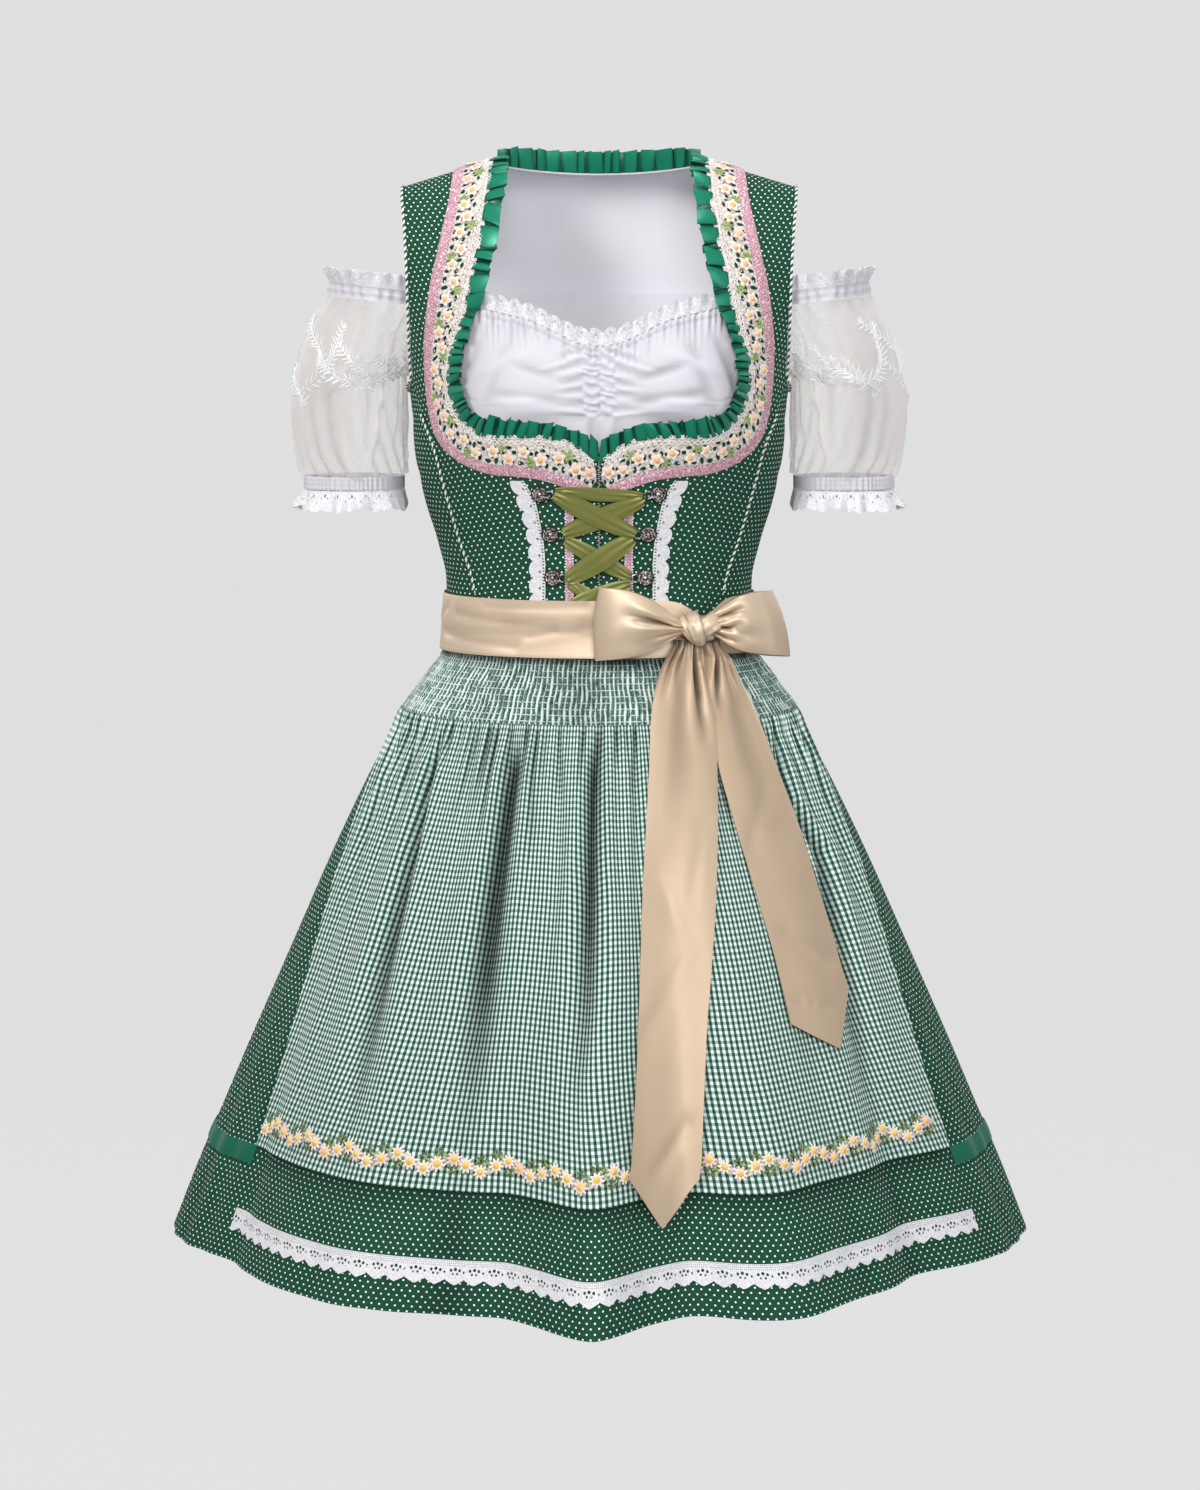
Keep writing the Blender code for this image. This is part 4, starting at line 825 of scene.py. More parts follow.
def pulls(p, lines, front=True):
    """Troughs on both halves of the torso, given by x and z of their ends."""
    p = p.copy()
    p[..., 0] = np.abs(p[..., 0])
    return troughs(p, [(torso(a, b, front), torso(c, d, front), wide, deep)
                       for a, b, c, d, wide, deep in lines])


# Main valleys of the apron and the skirt under it: depth, half width in degrees, then
# height and angle along it.
VALLEYS = (
    (10.0, 2.6, (-476, -48), (-527, -46.1), (-566, -44.9), (-652, -43.8), (-768, -41.1)),
    (12.5, 2.9, (-471, -22), (-599, -22.5), (-736, -22.3)),
    (11.0, 2.6, (-470, -0.7), (-519, -1.4), (-594, -2.0), (-683, -2.9), (-727, -4.2)),
    (4.5, 1.7, (-473, -34.1), (-523, -32.8), (-560, -32.0)),
    (4.5, 1.7, (-470, -10.6), (-505, -10.0), (-560, -9.2)),
    (7.0, 2.4, (-481, -68.8), (-517, -64.9), (-558, -64.8), (-614, -62)),
    (7.5, 2.3, (-473, 34.6), (-525, 38.1), (-640, 39.0)),
    (8.0, 2.4, (-477, 54.4), (-529, 52.4), (-572, 57.0), (-659, 53.9), (-754, 51.2)),
    (4.5, 1.8, (-471, 20.2), (-521, 19.6), (-600, 17.0)),
    (6.0, 2.2, (-476, 70.0), (-530, 68.0), (-610, 64.0)),
    (5.0, 1.8, (-474, -57.0), (-520, -55.5), (-590, -54.5)),
    (3.5, 1.6, (-472, 10.0), (-530, 9.0), (-640, 8.0)))
GATHERS, VALLEY_GAIN = 58, 1.25


def valley_lines(z):
    """Each valley's depth and half width, its ends, and its angle at these heights."""
    for depth, wide, *line in VALLEYS:
        heights, angles = np.array(line[::-1], float).T
        yield depth, wide, heights[-1], heights[0], np.interp(z, heights, angles)


def valley_shift(angle, z):
    """How far the valleys take the cloth in, at these angles and heights."""
    total = 0.0
    for depth, wide, start, end, middle in valley_lines(z):
        fade = smooth(start + 6, start - 34, z) * blend(1.0, 0.22, smooth(end + 150, end - 60, z))
        away = np.abs(angle - middle) / (wide * (0.62 + 0.5 * smooth(-480, -760, z)))
        total = total - VALLEY_GAIN * depth * fade * (np.exp(-away ** 1.7)
                                                      - 0.30 * bell(away - 2.1, 0.9))
    return total


def valley_cloth(angle, z):
    """Extra cloth, in millimetres, that the valleys have taken in up to these angles."""
    return sum(0.55 * depth * np.tanh((angle - middle) / wide) * smooth(end - 120, end + 60, z)
               for depth, wide, start, end, middle in valley_lines(z))


def gather_shift(angle, z):
    """Fine gathers that hang from the smocking, run together and die out downward."""
    local = np.random.default_rng(11)
    places = np.linspace(-87, 87, GATHERS) + local.uniform(-1.3, 1.3, GATHERS)
    others = [local.uniform(*span, GATHERS) for span in ((40, 140), (1.4, 4.2), (-1.8, 1.8))]
    total = 0.0
    for place, length, depth, drift in zip(places, *others):
        down = (SMOCK_END - z) / length
        fade = smooth(1.0, 0.12, down) * smooth(-0.01, 0.05, down)
        total = total - depth * fade * crease(angle - place - drift * down,
                                              0.62 + 0.65 * np.clip(down, 0, 1), 0.25, 1.5)
    return total


def soft_waves(angle, z, seed):
    """Broad uneven undulation of hanging cloth."""
    waves = 1.1 * wander(angle, seed, 7.0) + 0.7 * wander(angle + z * 0.03, seed + 5, 3.1)
    return smooth(-440, -700, z) * waves


def front_shift(angle, z):
    return valley_shift(angle, z) + soft_waves(angle, z, 3)


def side_shift(a, z):
    """As in front, with the small folds of the skirt's sides beside the apron."""
    return front_shift(a, z) - sum(
        deep * smooth(-450, -900, z) * bell(a - place, wide) for place, wide, deep in (
            (-78, 2.4, 3.2), (-71, 1.9, 2.4), (74, 2.0, 2.6), (81, 2.6, 3.4), (-86, 2.0, 1.8),
            (67, 1.8, 2.0)))


# Folds of the skirt's back: angle, half width, depth, and the heights it runs between.
BACK_FOLDS = (
    (97, 2.6, 5.0, -405, -640), (104, 2.2, 7.5, -400, -760), (118, 2.8, 9.0, -402, -900),
    (128, 2.0, 5.0, -398, -560), (143, 2.6, 10.0, -400, -900), (153, 2.0, 5.5, -404, -610),
    (162, 2.4, 8.0, -400, -820), (176, 2.6, 9.5, -401, -900), (187, 2.0, 6.0, -399, -600),
    (197, 2.5, 8.0, -402, -860), (209, 2.2, 6.0, -400, -640), (217, 2.6, 9.5, -400, -900),
    (232, 2.2, 6.5, -404, -700), (243, 2.6, 8.0, -400, -880), (256, 2.0, 5.0, -402, -580),
    (264, 2.6, 6.0, -402, -760))


def back_shift(a, z):
    """Gathers at the skirt's back, long and short, that open into the hem's waves."""
    total = 0.6 * soft_waves(a, z, 21)
    for place, wide, deep, start, end in BACK_FOLDS:
        down = (start - z) / (start - end)
        fade = smooth(-0.02, 0.16, down) * smooth(1.25, 0.4, down)
        middle = place + 1.3 * np.sin(down * 2.1 + place)
        total = total - deep * 0.75 * fade * bell(a - middle, wide * (
            0.7 + 0.7 * np.clip(down, 0, 1)))
    local = np.random.default_rng(5)
    for place in np.arange(92, 270, 3.1):
        place = place + local.uniform(-1, 1)
        down = (-398 - z) / local.uniform(25, 80)
        total = total - local.uniform(0.7, 1.9) * smooth(-0.1, 0.1, down) * smooth(
            1.0, 0.3, down) * bell(a - place, 0.8)
    return total * smooth(-391, -404, z)


def apron_column(first, z):
    """Angle, at a height, of the apron's thread that starts at this angle at its top."""
    edge = APRON_EDGE.at(z, "angle")
    return first * (1 - (1 - edge / 90) * (np.abs(first) / 90) ** 2)


def apron_room(angle, z):
    """How far the apron stands off the skirt at its side edges."""
    return 2.2 * smooth(48, 60, np.abs(angle)) * smooth(-440, -466, z)


def on_apron(first, z, lift=0.0):
    """Points of the apron's face, by the angle of the thread at the top."""
    a = apron_column(first, z)
    return on_skirt(a, z, LAY + COTTON + lift + front_shift(a, z) + gather_shift(first, z)
                    + apron_room(a, z))


def fold_depth(shift, scale, start):
    """How deep in a fold a point lies, from 0 to 1, from how far it is taken in."""
    return np.clip((-shift - start) / scale, 0, 1) ** 0.8


def flat_u(z, column=lambda a, z: a):
    """Lengths along one level of the skirt, as a table from angle to millimetres."""
    angles = np.linspace(-92, 92, 369)
    return angles, lengths(skirt(column(angles, z), z), 0, 184)


# ---- skirt and apron
def skirt_front():
    a, z = mesh((90, -90, 231), (-390.4, -470, 12), (-480, HEM, 48))

    def covered(z):
        """1 where the apron covers the skirt."""
        edge = APRON_EDGE.at(z, "angle")
        return smooth(edge + 3, edge - 5, np.abs(a)) * smooth(-826, -800, z)

    folds = side_shift(a, z)
    shift = folds - covered(z) * (4.2 * smooth(-466, -500, z) + 1.3 * smooth(-395, -420, z))
    pivot = 60.0                    # beyond it lengths are taken at each height
    u = np.interp(np.clip(a, -pivot, pivot), *flat_u(-867.0)) + arc(
        skirt, np.sign(a) * pivot, np.sign(a) * np.maximum(np.abs(a), pivot), z, 12)
    near = smooth(APRON_HEM - 26, APRON_HEM - 4, z) * covered(z + 20)
    beside = bell(np.abs(a) - APRON_EDGE.at(z, "angle") - 0.6, 1.1) * smooth(
        -455, -480, z) * smooth(-822, -810, z)
    shade = np.maximum(np.maximum(fold_depth(folds, 8.0, 1.5), 0.55 * near), 0.7 * beside)
    Work().grid(on_skirt(a, z, shift), uv_of(u, slant(z)), COTTON, fold=shade).sheet(
        "skirt_front", "cloth", COTTON_PRINT, "dotted_cotton", (1050, 590), "gathered",
        "bodice_front_right_cloth", 0.70)


def skirt_back():
    work = Work()
    for low, high in ((90.04, 150.0), (150.0, 210.0), (210.0, 269.96)):
        a, z = mesh((high, low, 81), (-390.4, -460, 12), (-468, HEM, 34))
        shift = back_shift(a, z) - 1.4 * (bell(a - 150, 0.5) + bell(a - 210, 0.5))
        # fold: painted shade, deeper in the gathers.
        work.grid(on_skirt(a, z, shift), uv_of(arc(skirt, (low + high) / 2, a, z), slant(z)),
                  COTTON, fold=fold_depth(shift, 8.0, 1.2))
    work.sheet("skirt_back", "cloth", COTTON_PRINT, "dotted_cotton", (1050, 590), "gathered",
               "bodice_back_cloth", 0.70)


def apron_skirt():
    a, z = mesh((90, -90, 401), (SMOCK_END - 0.2, -500, 14), (-505, -600, 22),
                (-607, APRON_HEM + 1.5, 32), (APRON_HEM, APRON_HEM, 1))
    column = apron_column(a, z)
    u = 1.14 * np.interp(a, *flat_u(-690.0, apron_column)) + valley_cloth(column, z)
    shade = np.maximum(fold_depth(front_shift(column, z), 10.5, 2.6),
                       fold_depth(gather_shift(a, z), 3.4, 0.6))
    Work().grid(on_apron(a, z), uv_of(u, slant(z)), COTTON, fold=shade).sheet(
        "apron_skirt", "cloth", GINGHAM, "gingham_cotton", (790, 385), "gathered",
        "apron_smocking_cloth")


def apron_smocking():
    a, z = mesh((90, -90, 561), np.concatenate([
        np.linspace(-391.5, -406, 3), np.arange(-410, SMOCK_END, -1.12), [SMOCK_END]]))
    along = np.interp(a, *flat_u(-430.0))
    phase = along / SMOCK_PITCH * 2 * pi + 2.8 * wander(along, 31, 9.0)
    row = (z - SMOCK_END) / SHIRRING
    pinch = tent(row)               # 1 on a row of shirring
    bent = phase + 0.7 * np.sin(row * 1.1 + along * 0.05) + 0.25 * wander(
        along + 40 * np.floor(row), 17, 5.0)
    pleat = 0.75 * np.sin(bent) + 0.25 * np.sin(2 * bent + 1.0)
    shown = smooth(-408, -416, z)
    broad = 0.9 * wander(along, 41, 16.0) * shown
    shift = broad + shown * (pleat * (1 - 0.45 * pinch ** 4) - 0.8 * pinch ** 6)
    p = on_skirt(a, z, LAY + COTTON - 0.2 + shift + apron_room(a, z))
    shade = np.maximum(0.85 * smooth(BELT_END - 11, BELT_END - 1, z),
                       np.clip(-broad * 0.55, 0, 0.6))
    Work().grid(p, uv_of((bent / (2 * pi) + 0.25) * SMOCK_PITCH, z - SMOCK_END),
                fold=shade).sheet("apron_smocking", "cloth", SMOCKED, "gingham_cotton",
                                  (790, 74), "gathered", "skirt_front_cloth", 0.68)


def scalloped(width, pitch, u):
    """Depth of a scalloped edge along u: 0 in the notches, width at the points."""
    return width * np.sqrt(np.maximum(0.0, 1 - tent(u, pitch) ** 2))


def hem_lace():
    a, t = mesh((65, -65, 721), (0, 1, 7))
    along = np.interp(a, *flat_u(-882.0))
    drop = 14.2 + 4.6 * (1 - tent(along, 16.0)) ** 0.8 + 0.5 * np.abs(np.sin(along / 2.0 * pi))
    z = -872.0 - drop * t
    p = on_skirt(a, z, side_shift(a, z) + 1.15 + 0.35 * np.sin(along / 5.0) * t)
    Work().grid(p, uv_of(along, z + 872.0), 0.5).sheet(
        "hem_lace", "strip", HEM_LOOK, "white_cotton", (790, 19), "laid", "skirt_front_cloth")


def side_ribbon():
    width = 15.5
    a, t = mesh((295, 65, 301), (0, 1, 7))
    z = APRON_HEM - width * t
    far = a > 269.8                 # past the left seam, on the front half again
    shift = np.where(far | (a < 90.2), side_shift(np.where(far, a - 360, a), z), back_shift(a, z))
    edge = np.minimum(smooth(65, 66, a), smooth(295, 294, a))
    p = on_skirt(a, z, shift + 1.0 + 0.5 * np.sin(pi * t) * edge)
    # Painted shade: the whole ribbon is darkened evenly through its fold attribute.
    Work().grid(p, uv_of(-t * width, lengths(p, 1, 150)), 0.5, fold=0.4).sheet(
        "side_ribbon", "strip", EMERALD, "emerald_satin", (1330, width), "laid",
        "skirt_back_cloth")


# ---- bodice
def stations(kind, k):
    return STATIONS.at(k, kind + "_x", kind + "_z")


def on_bodice(x, z, lift=0.0):
    """Points on the bodice front's face and their normals, upright at the shoulder."""
    p = torso(x, z)
    top = (smooth(-10, 0, p[..., 1]) * (p[..., 2] > -45))[..., None]
    n = unit(blend(form_normal(p), unit(np.array([SHOULDER_SLOPE, 0, 1.0])), top))
    return off(p - BEHIND, n, lift), n


# Soft pulls of the fitted bodice: x and z of both ends, half width, depth.
FIT = ((52, -300, 82, -312, 5, 0.9), (50, -338, 86, -330, 6, 1.0),
       (92, -372, 124, -356, 6, 1.3), (98, -352, 128, -338, 5, 0.9),
       (86, -262, 112, -296, 8, -0.8), (128, -250, 146, -268, 6, 0.9),
       (60, -384, 80, -352, 7, 0.8), (132, -206, 148, -228, 6, 0.8),
       (142, -150, 150, -185, 5, 0.7), (30, -378, 46, -352, 5, 0.7))
SIDE_PULLS = (((146, -30, -340), (132, 12, -352), 6, 1.1),
              ((134, -20, -372), (130, 24, -366), 6, 1.2),
              ((150, -24, -262), (150, 10, -272), 7, 0.9),
              ((140, 5, -318), (139, 34, -308), 6, 0.9),
              ((155, -28, -212), (156, 6, -226), 6, 0.8))
BACK_PULLS = ((38, -366, 72, -352, 6, 1.2), (20, -300, 60, -292, 7, 0.8),
              (60, -240, 96, -226, 7, 0.9), (110, -120, 132, -150, 6, 0.8),
              (18, -372, 44, -382, 5, 1.0), (64, -330, 82, -300, 6, 0.9))


def bodice_fronts():
    """Rows run from the outer edge to the trims' edge and on to the neckline."""
    k, share = mesh((0, LAST_STATION, 181), (0, 1, 22), (7 / 6, 2, 6))
    edge, rim, neck = (stations(kind, k) for kind in ("edge", "rim", "neck"))
    x, z = np.where(share <= 1, blend(edge, rim, share), blend(rim, neck, share - 1))
    base, n = on_bodice(x, z)
    base[:, -1, 1] = -SEAM
    p = off(base, n, -pulls(base, FIT))
    line = torso_turn(turn_of(np.abs(x), z, True)[..., None],
                      blend(WAIST, z[..., None], np.linspace(0, 1, 41)))
    u, v = arc(torso, 0.0, x, z), lengths(line, 2)[..., -1]
    c, s = cos(FRONT_GRAIN), sin(FRONT_GRAIN)
    for side, sign in SIDES:
        q, m, w = sided(sign, p, n, uv_of((u * c - v * s) * sign, u * s + v * c))
        Work().grid(q, w, COTTON, normals=m).sheet(
            "bodice_front_" + side, "cloth", COTTON_PRINT, "dotted_cotton", (185, 420),
            "stretched", "bodice_side_%s_cloth" % side, 0.48)


def underarm(y):
    """Heights of the armhole's lower edge."""
    reach = np.clip(np.abs(y) / 45.0, 0, 1)
    return -130.0 - 67.0 * (1 - reach ** 2.3) ** (1 / 2.3)


def bodice_sides():
    t, share = mesh((0, 1, 31), (1, 0, 46))
    (ex, ez) = stations("edge", 6 + 6 * share)
    (bx, bz) = BACK.at(10 - 5 * share, "edge_x", "edge_z")
    p = torso_turn(blend(turn_of(ex, ez, True), turn_of(bx, bz, False), t), blend(ez, bz, t))
    p[0, 1:-1, 2] = underarm(p[0, 1:-1, 1])
    for j in range(1, 5):           # the rows under the armhole's edge follow its curve
        p[j] = blend(p[0], p[5], j / 5)
    for end, beside in ((0, 1), (-1, -2)):
        p[:, end] += unit(p[:, beside] - p[:, end])
    n = form_normal(p)
    p = off(p, n, -troughs(p, SIDE_PULLS))
    u, v = lengths(p, 1, 15), (p[..., 2] - WAIST) * 1.02
    for side, sign in SIDES:
        q, m, w = sided(sign, p, n, uv_of(u * sign, v))
        Work().grid(q, w, COTTON, normals=m).sheet(
            "bodice_side_" + side, "cloth", COTTON_PRINT, "dotted_cotton", (170, 215),
            "stretched", "skirt_front_cloth", 0.72)


def back_top(x):
    inside = blend(-12.0, SHOULDER_TOP, (np.abs(x) / NECK_HALF) ** 2)
    return np.where(np.abs(x) <= NECK_HALF, inside, -shoulder_drop(x))


def back_grid(across, down):
    """Points of the bodice back, by shares across and rows down, and their normals."""
    share, row = mesh(across, (0, 0, 1), down)
    ex, ez, cz = BACK.at(row, "edge_x", "edge_z", "centre_z")
    x = share * ex
    p = torso(x, np.where(row <= 0, back_top(x), blend(cz, ez, share ** 2)), False)
    seam = (smooth(14, 0, p[..., 1]) * (p[..., 2] > -45))[..., None]
    up = unit(stacked(np.sign(x) * SHOULDER_SLOPE, 0.0, 1.0))
    n = unit(blend(form_normal(p), up, seam))
    p[..., 1] *= ~((row <= 0) & (np.abs(x) >= NECK_HALF - 1))       # the shoulder seam
    p = p + BEHIND
    p[1] = blend(p[0], p[2], 0.5)
    return p, n


def bodice_back():
    p, n = back_grid((1, -1, 81), (0.12, 10, 59))
    u = arc(lambda x, z: torso(x, z, False), 0.0, p[..., 0], p[..., 2])
    Work().grid(off(p, n, -pulls(p, BACK_PULLS, False)), uv_of(-u, -lengths(p)), COTTON,
                normals=n).sheet("bodice_back", "cloth", COTTON_PRINT, "dotted_cotton",
                                 (360, 420), "stretched", "skirt_back_cloth", 0.80)
    p, n = back_grid((0.84, -0.84, 61), (0.12, 9, 49))
    soft = 0.35 * wander(p[..., 0] + 0.4 * p[..., 2], 9, 18.0)
    work = Work().grid(off(p, n, -COTTON - LAY - np.maximum(0, soft)),
                       uv_of(p[..., 0], p[..., 2]), 0.8, normals=n)
    x = np.linspace(-82, 82, 60)
    work.tube(torso(x, back_top(x), False) + (0, -3.6, -4.4), 1.1, kind=1)
    work.sheet("back_lining", "cloth", [LINING, BLOUSE_COTTON], "white_cotton", (290, 370),
               "laid", "bodice_back_cloth", 0.86)


# ---- frills
def ruffle(base, free, out, pitch, depth, seed, rows=9, per=7, over=0.34, wild=1.0):
    """A box-pleated frill between a sewn line and a free edge: a grid, its uv and its painted fold
    shade.

    Wide plates lie over narrow ones; over is how far each reaches past its place."""
    local = np.random.default_rng(seed)
    plates = 2 * max(3, int(round(lengths(base)[-1] / pitch))) + 1
    high = np.arange(plates) % 2 == 0

    def drawn(wide, narrow):
        return np.where(high, local.uniform(*wide, plates), local.uniform(*narrow, plates))

    widths = drawn((0.7, 1.8), (0.22, 0.75))
    knots = np.concatenate([[0], np.cumsum(widths)]) / widths.sum()
    q = np.tile(0.5 - 0.5 * np.cos(np.linspace(0, pi, per + 1)), plates)
    which = np.repeat(np.arange(plates), per + 1)
    on_top = high[which]
    centre, wide = ((knots[:-1] + knots[1:]) / 2)[which], np.diff(knots)[which]
    at = centre + (q - 0.5) * wide * np.where(on_top, 1 + over * 0.55, 1 + 2.2 * over)
    level = drawn((0.5, 1.25), (-0.45, 0.05))[which]
    tilt = (local.uniform(0.25, 0.95, plates) * local.choice([-1, 1], plates) * wild)[which]
    skew = local.uniform(-1.0, 1.0, plates)[which] * np.where(on_top, 1.0, 2.6) * wild
    reach = 1 + (drawn((0.88, 1.10), (0.78, 0.98))[which] - 1) * wild
    t = np.linspace(0, 1, rows)[:, None]
    fan = np.clip(at + 0.42 * skew * wide * (t - 0.25), 0, 1)
    b, f, o = (mean_line(line, fan) for line in (base, free, out))
    lean = tilt * (2 * q - 1)
    height = depth * (level * (1 - 0.35 * (2 * q - 1) ** 4) + lean) * (0.30 + 0.70 * t)
    height = height + 1.9 * np.sin(pi * (t * 0.62 + 0.05))
    p = off(blend(b, f, (t * (reach + 0.13 * lean))[..., None]), unit(o), height)
    uv = uv_of(t * np.linalg.norm(f[0] - b[0], axis=-1), lengths(p[-1])[None])
    edge = np.abs(2 * q - 1)
    shade = np.where(on_top, 0.45 * smooth(0.72, 1.0, edge) + 0.34 * np.clip(-lean, 0, 1),
                     0.55 + 0.45 * edge)
    return p, uv, np.maximum(shade * (1 - 0.15 * t), 0.65 * smooth(0.16, 0.0, t))


def neck_ruffles():
    k = np.linspace(0, LAST_STATION, 400)
    base, n = on_bodice(*stations("neck", k), 0.4)
    free, _ = on_bodice(*stations("ruffle", k))
    base[-1, 1] = free[-1, 1] = -SEAM
    base = base + unit(base - free) * 1.5
    meet = smooth(30, 0, np.arange(400))          # the two frills meet at the V
    for line in (base, free):
        line[:, 0] -= meet * (line[0, 0] - 0.5)
    for (side, sign), seed in zip(SIDES, (4, 14)):
        p, uv, shade = sided(sign, *ruffle(base, free, n, 11.4, 3.3, seed, 8, 6, 0.26))
        Work().grid(p, uv, 0.45, fold=shade).sheet(
            "neck_ruffle_" + side, "satin", EMERALD, "emerald_satin", (20, 640), "gathered",
            "bodice_front_%s_cloth" % side, sharp=38)


def back_ruffle():
    x = np.linspace(84, -84, 200)
    base = torso(x, back_top(x), False) + (0, -2.6, -4.6)
    free = base + stacked(0.0, -2.0 * (1 - np.abs(x) / 84), blend(20.0, 13.5, (x / 84) ** 6) - 0.4)
    p, uv, shade = ruffle(base, free, stacked(0 * x, -1.0, 0.0), 14.5, 2.8, 6, wild=0.35)
    Work().grid(p[:, ::-1], uv[:, ::-1], 0.45, fold=shade[:, ::-1]).sheet(
        "neck_ruffle_back", "satin", EMERALD, "emerald_satin", (20, 330), "gathered",
        "bodice_back_cloth", sharp=38)


# ---- trims of the neckline
LACE_SHARE, BRAID_SHARE = 0.72, 0.74       # of the way from the neckline to the braid's edge
FLOWER_STEP, BLOOM_STEP = 13.8, 11.7


def flower_grids(petals=5, slim=1.0):
    """Raised petals round a centre, the first along +x."""
    r, t = np.linspace(0.16, 1.0, 3)[:, None], np.linspace(-1, 1, 4)[None]
    wide = 0.40 * slim * np.sin(pi * (0.16 + 0.72 * r)) ** 0.6
    petal = stacked(r - 0.10 * t ** 2 * r, wide * t,
                    0.26 * np.sin(pi * r * 0.8) + 0.10 * (1 - t ** 2))
    return [petal @ np.array([[cos(a), sin(a), 0], [-sin(a), cos(a), 0], [0, 0, 1]])
            for a in 2 * pi * np.arange(petals) / petals]


FLOWER, DAISY = flower_grids(), flower_grids(9, 0.52)


def put_flower(work, spot, radius, kinds, turn, petals):
    """A small embroidered flower with a raised centre."""
    at, side, up, out = spot
    a, b = side * cos(turn) + up * sin(turn), -side * sin(turn) + up * cos(turn)
    for grid in petals:
        work.grid(at + radius * grid @ np.stack([a, b, out * 0.7]), kind=kinds[0])
    work.dome(at + out * 0.12 * radius, a, b, out, 0.52 * radius, 0.30 * radius, kinds[1], 8)


def put_leaves(work, spot, size, kind, turns):
    at, side, up, out = spot
    for turn in turns:
        along, across = side * cos(turn) + up * sin(turn), -side * sin(turn) + up * cos(turn)
        work.leaf(at + along * 0.2 * size, along, across, out, size, size * 0.26, size * 0.16,
                  kind)


def trim_line(k, t):
    """x and z on the flower trim: t is 0 at its outer edge and 1 at the neckline."""
    neck, rim = stations("neck", k), stations("rim", k)
    return blend(blend(neck, rim, LACE_SHARE), neck, t)


def flower_laces():
    k = np.linspace(0.0, LAST_STATION, 461)
    run = lengths(torso(*trim_line(k, 0.5)))
    total, count = run[-1], int(run[-1] / FLOWER_STEP)
    kk, tt = mesh(k, (0, 1, 9))
    rr = np.broadcast_to(run, kk.shape)
    knob = 1.3 * np.abs(np.sin(rr / 6.8 * pi)) * (tt > 0.9) + 0.6 * np.abs(
        np.sin(rr / 4.3 * pi)) * (tt < 0.1)
    near = 0.35 + 0.65 * smooth(0, 6, rr)         # rounded ends at the V
    x, z = blend(trim_line(kk, 0.5), trim_line(kk, tt + np.where(tt > 0.5, tt, -1) * knob / 20),
                 near)
    p, n = on_bodice(np.maximum(x, 2.2), z, LAY + 0.75)
    p[:, -1, 1] = -SEAM - LAY
    p = off(p, n, 0.25 * np.sin(rr / 1.9 + 2 * tt) * np.sin(tt * 9))
    uv = uv_of(rr, tt * np.hypot(*(trim_line(k, 1) - trim_line(k, 0))))
    local = np.random.default_rng(8)
    for side, sign in SIDES:
        def spot(s, t, lift):
            """Point, and the directions along, across and out."""
            at = np.interp(np.array([s, s + 0.004]) * total, run, k)
            p, n = (a * (sign, 1, 1) for a in on_bodice(*trim_line(at, t), LAY + lift))
            along = unit(p[1] - p[0])
            return p[0], along, unit(np.cross(n[0], along)), n[0]

        q, m, w = sided(sign, p, n, uv)
        work, bloom = Work().grid(q, w, 0.6, normals=m), Work()
        for j in range(count):
            s = (j + 0.5 + local.uniform(-0.08, 0.08)) / count
            at = spot(s, 0.36 + 0.10 * (-1) ** j + local.uniform(-0.03, 0.03), 1.2)
            kinds = (4, 2) if local.random() < 0.15 else (1, 2)
            put_flower(bloom, at, local.uniform(5.4, 6.2), kinds, local.uniform(0, 6.28), FLOWER)
            if j % 2:
                at = spot(min(s + 0.5 / count, 0.995), 0.60 if j % 4 == 1 else 0.16, 1.5)
                put_leaves(bloom, at, local.uniform(4.4, 5.2), 3,
                           local.uniform(0, 6.28) + np.arange(6) * 1.05)
                bloom.dome(*at, 1.0, 0.9, 3)
        turn = ring_turns(8)[:, None]             # crocheted loops of white yarn
        for start, pitch, share, radius, tall, wire in ((4.0, 3.4, 0.99, 1.45, 1.0, 0.42),
                                                        (5.0, 5.2, 0.80, 1.9, 0.8, 0.45)):
            for s in np.arange(start, total - 3, pitch) / total:
                at, along, up, out = spot(s, share, 1.0)
                bloom.tube(at + radius * (np.cos(turn) * along + np.sin(turn) * up * tall), wire,
                           4, closed=True, axis=out)
        node = "flower_lace_" + side
        flowers = bloom.build(node + "_flowers", [NET_YARN, PETAL, PEACH, LEAF, PINK_PETAL],
                              "flower_trim")
        work.sheet(node, "trim", CROCHET, "flower_trim", (400, 23), "laid",
                   "bodice_front_%s_cloth" % side, going=[flowers])


def pink_braids():
    k = np.linspace(0.0, LAST_STATION, 420)
    kk, tt = mesh(k, (0, 1, 8))
    neck, rim = stations("neck", kk), stations("rim", kk)
    rr = np.broadcast_to(lengths(torso(*stations("rim", k))), kk.shape)
    x, z = blend(rim, blend(neck, rim, BRAID_SHARE), tt)
    x = np.maximum(x + 0.175 * np.sin(rr / 2.2 * pi) * (tt == 0), 2.2)
    p, n = on_bodice(x, z, LAY + 0.7)
    p[:, -1, 1] = -SEAM - LAY
    p = off(p, n, 0.45 * np.sin(pi * tt) + 0.22 * np.sin(rr / 1.05 * pi + 4 * tt))
    for side, sign in SIDES:
        q, m, w = sided(sign, p, n, uv_of(rr, (tt - 0.5) * 8.0))
        Work().grid(q, w, 0.7, normals=m).sheet(
            "pink_braid_" + side, "trim", BRAID, "pink_braid", (430, 9), "laid",
            "bodice_front_%s_cloth" % side)


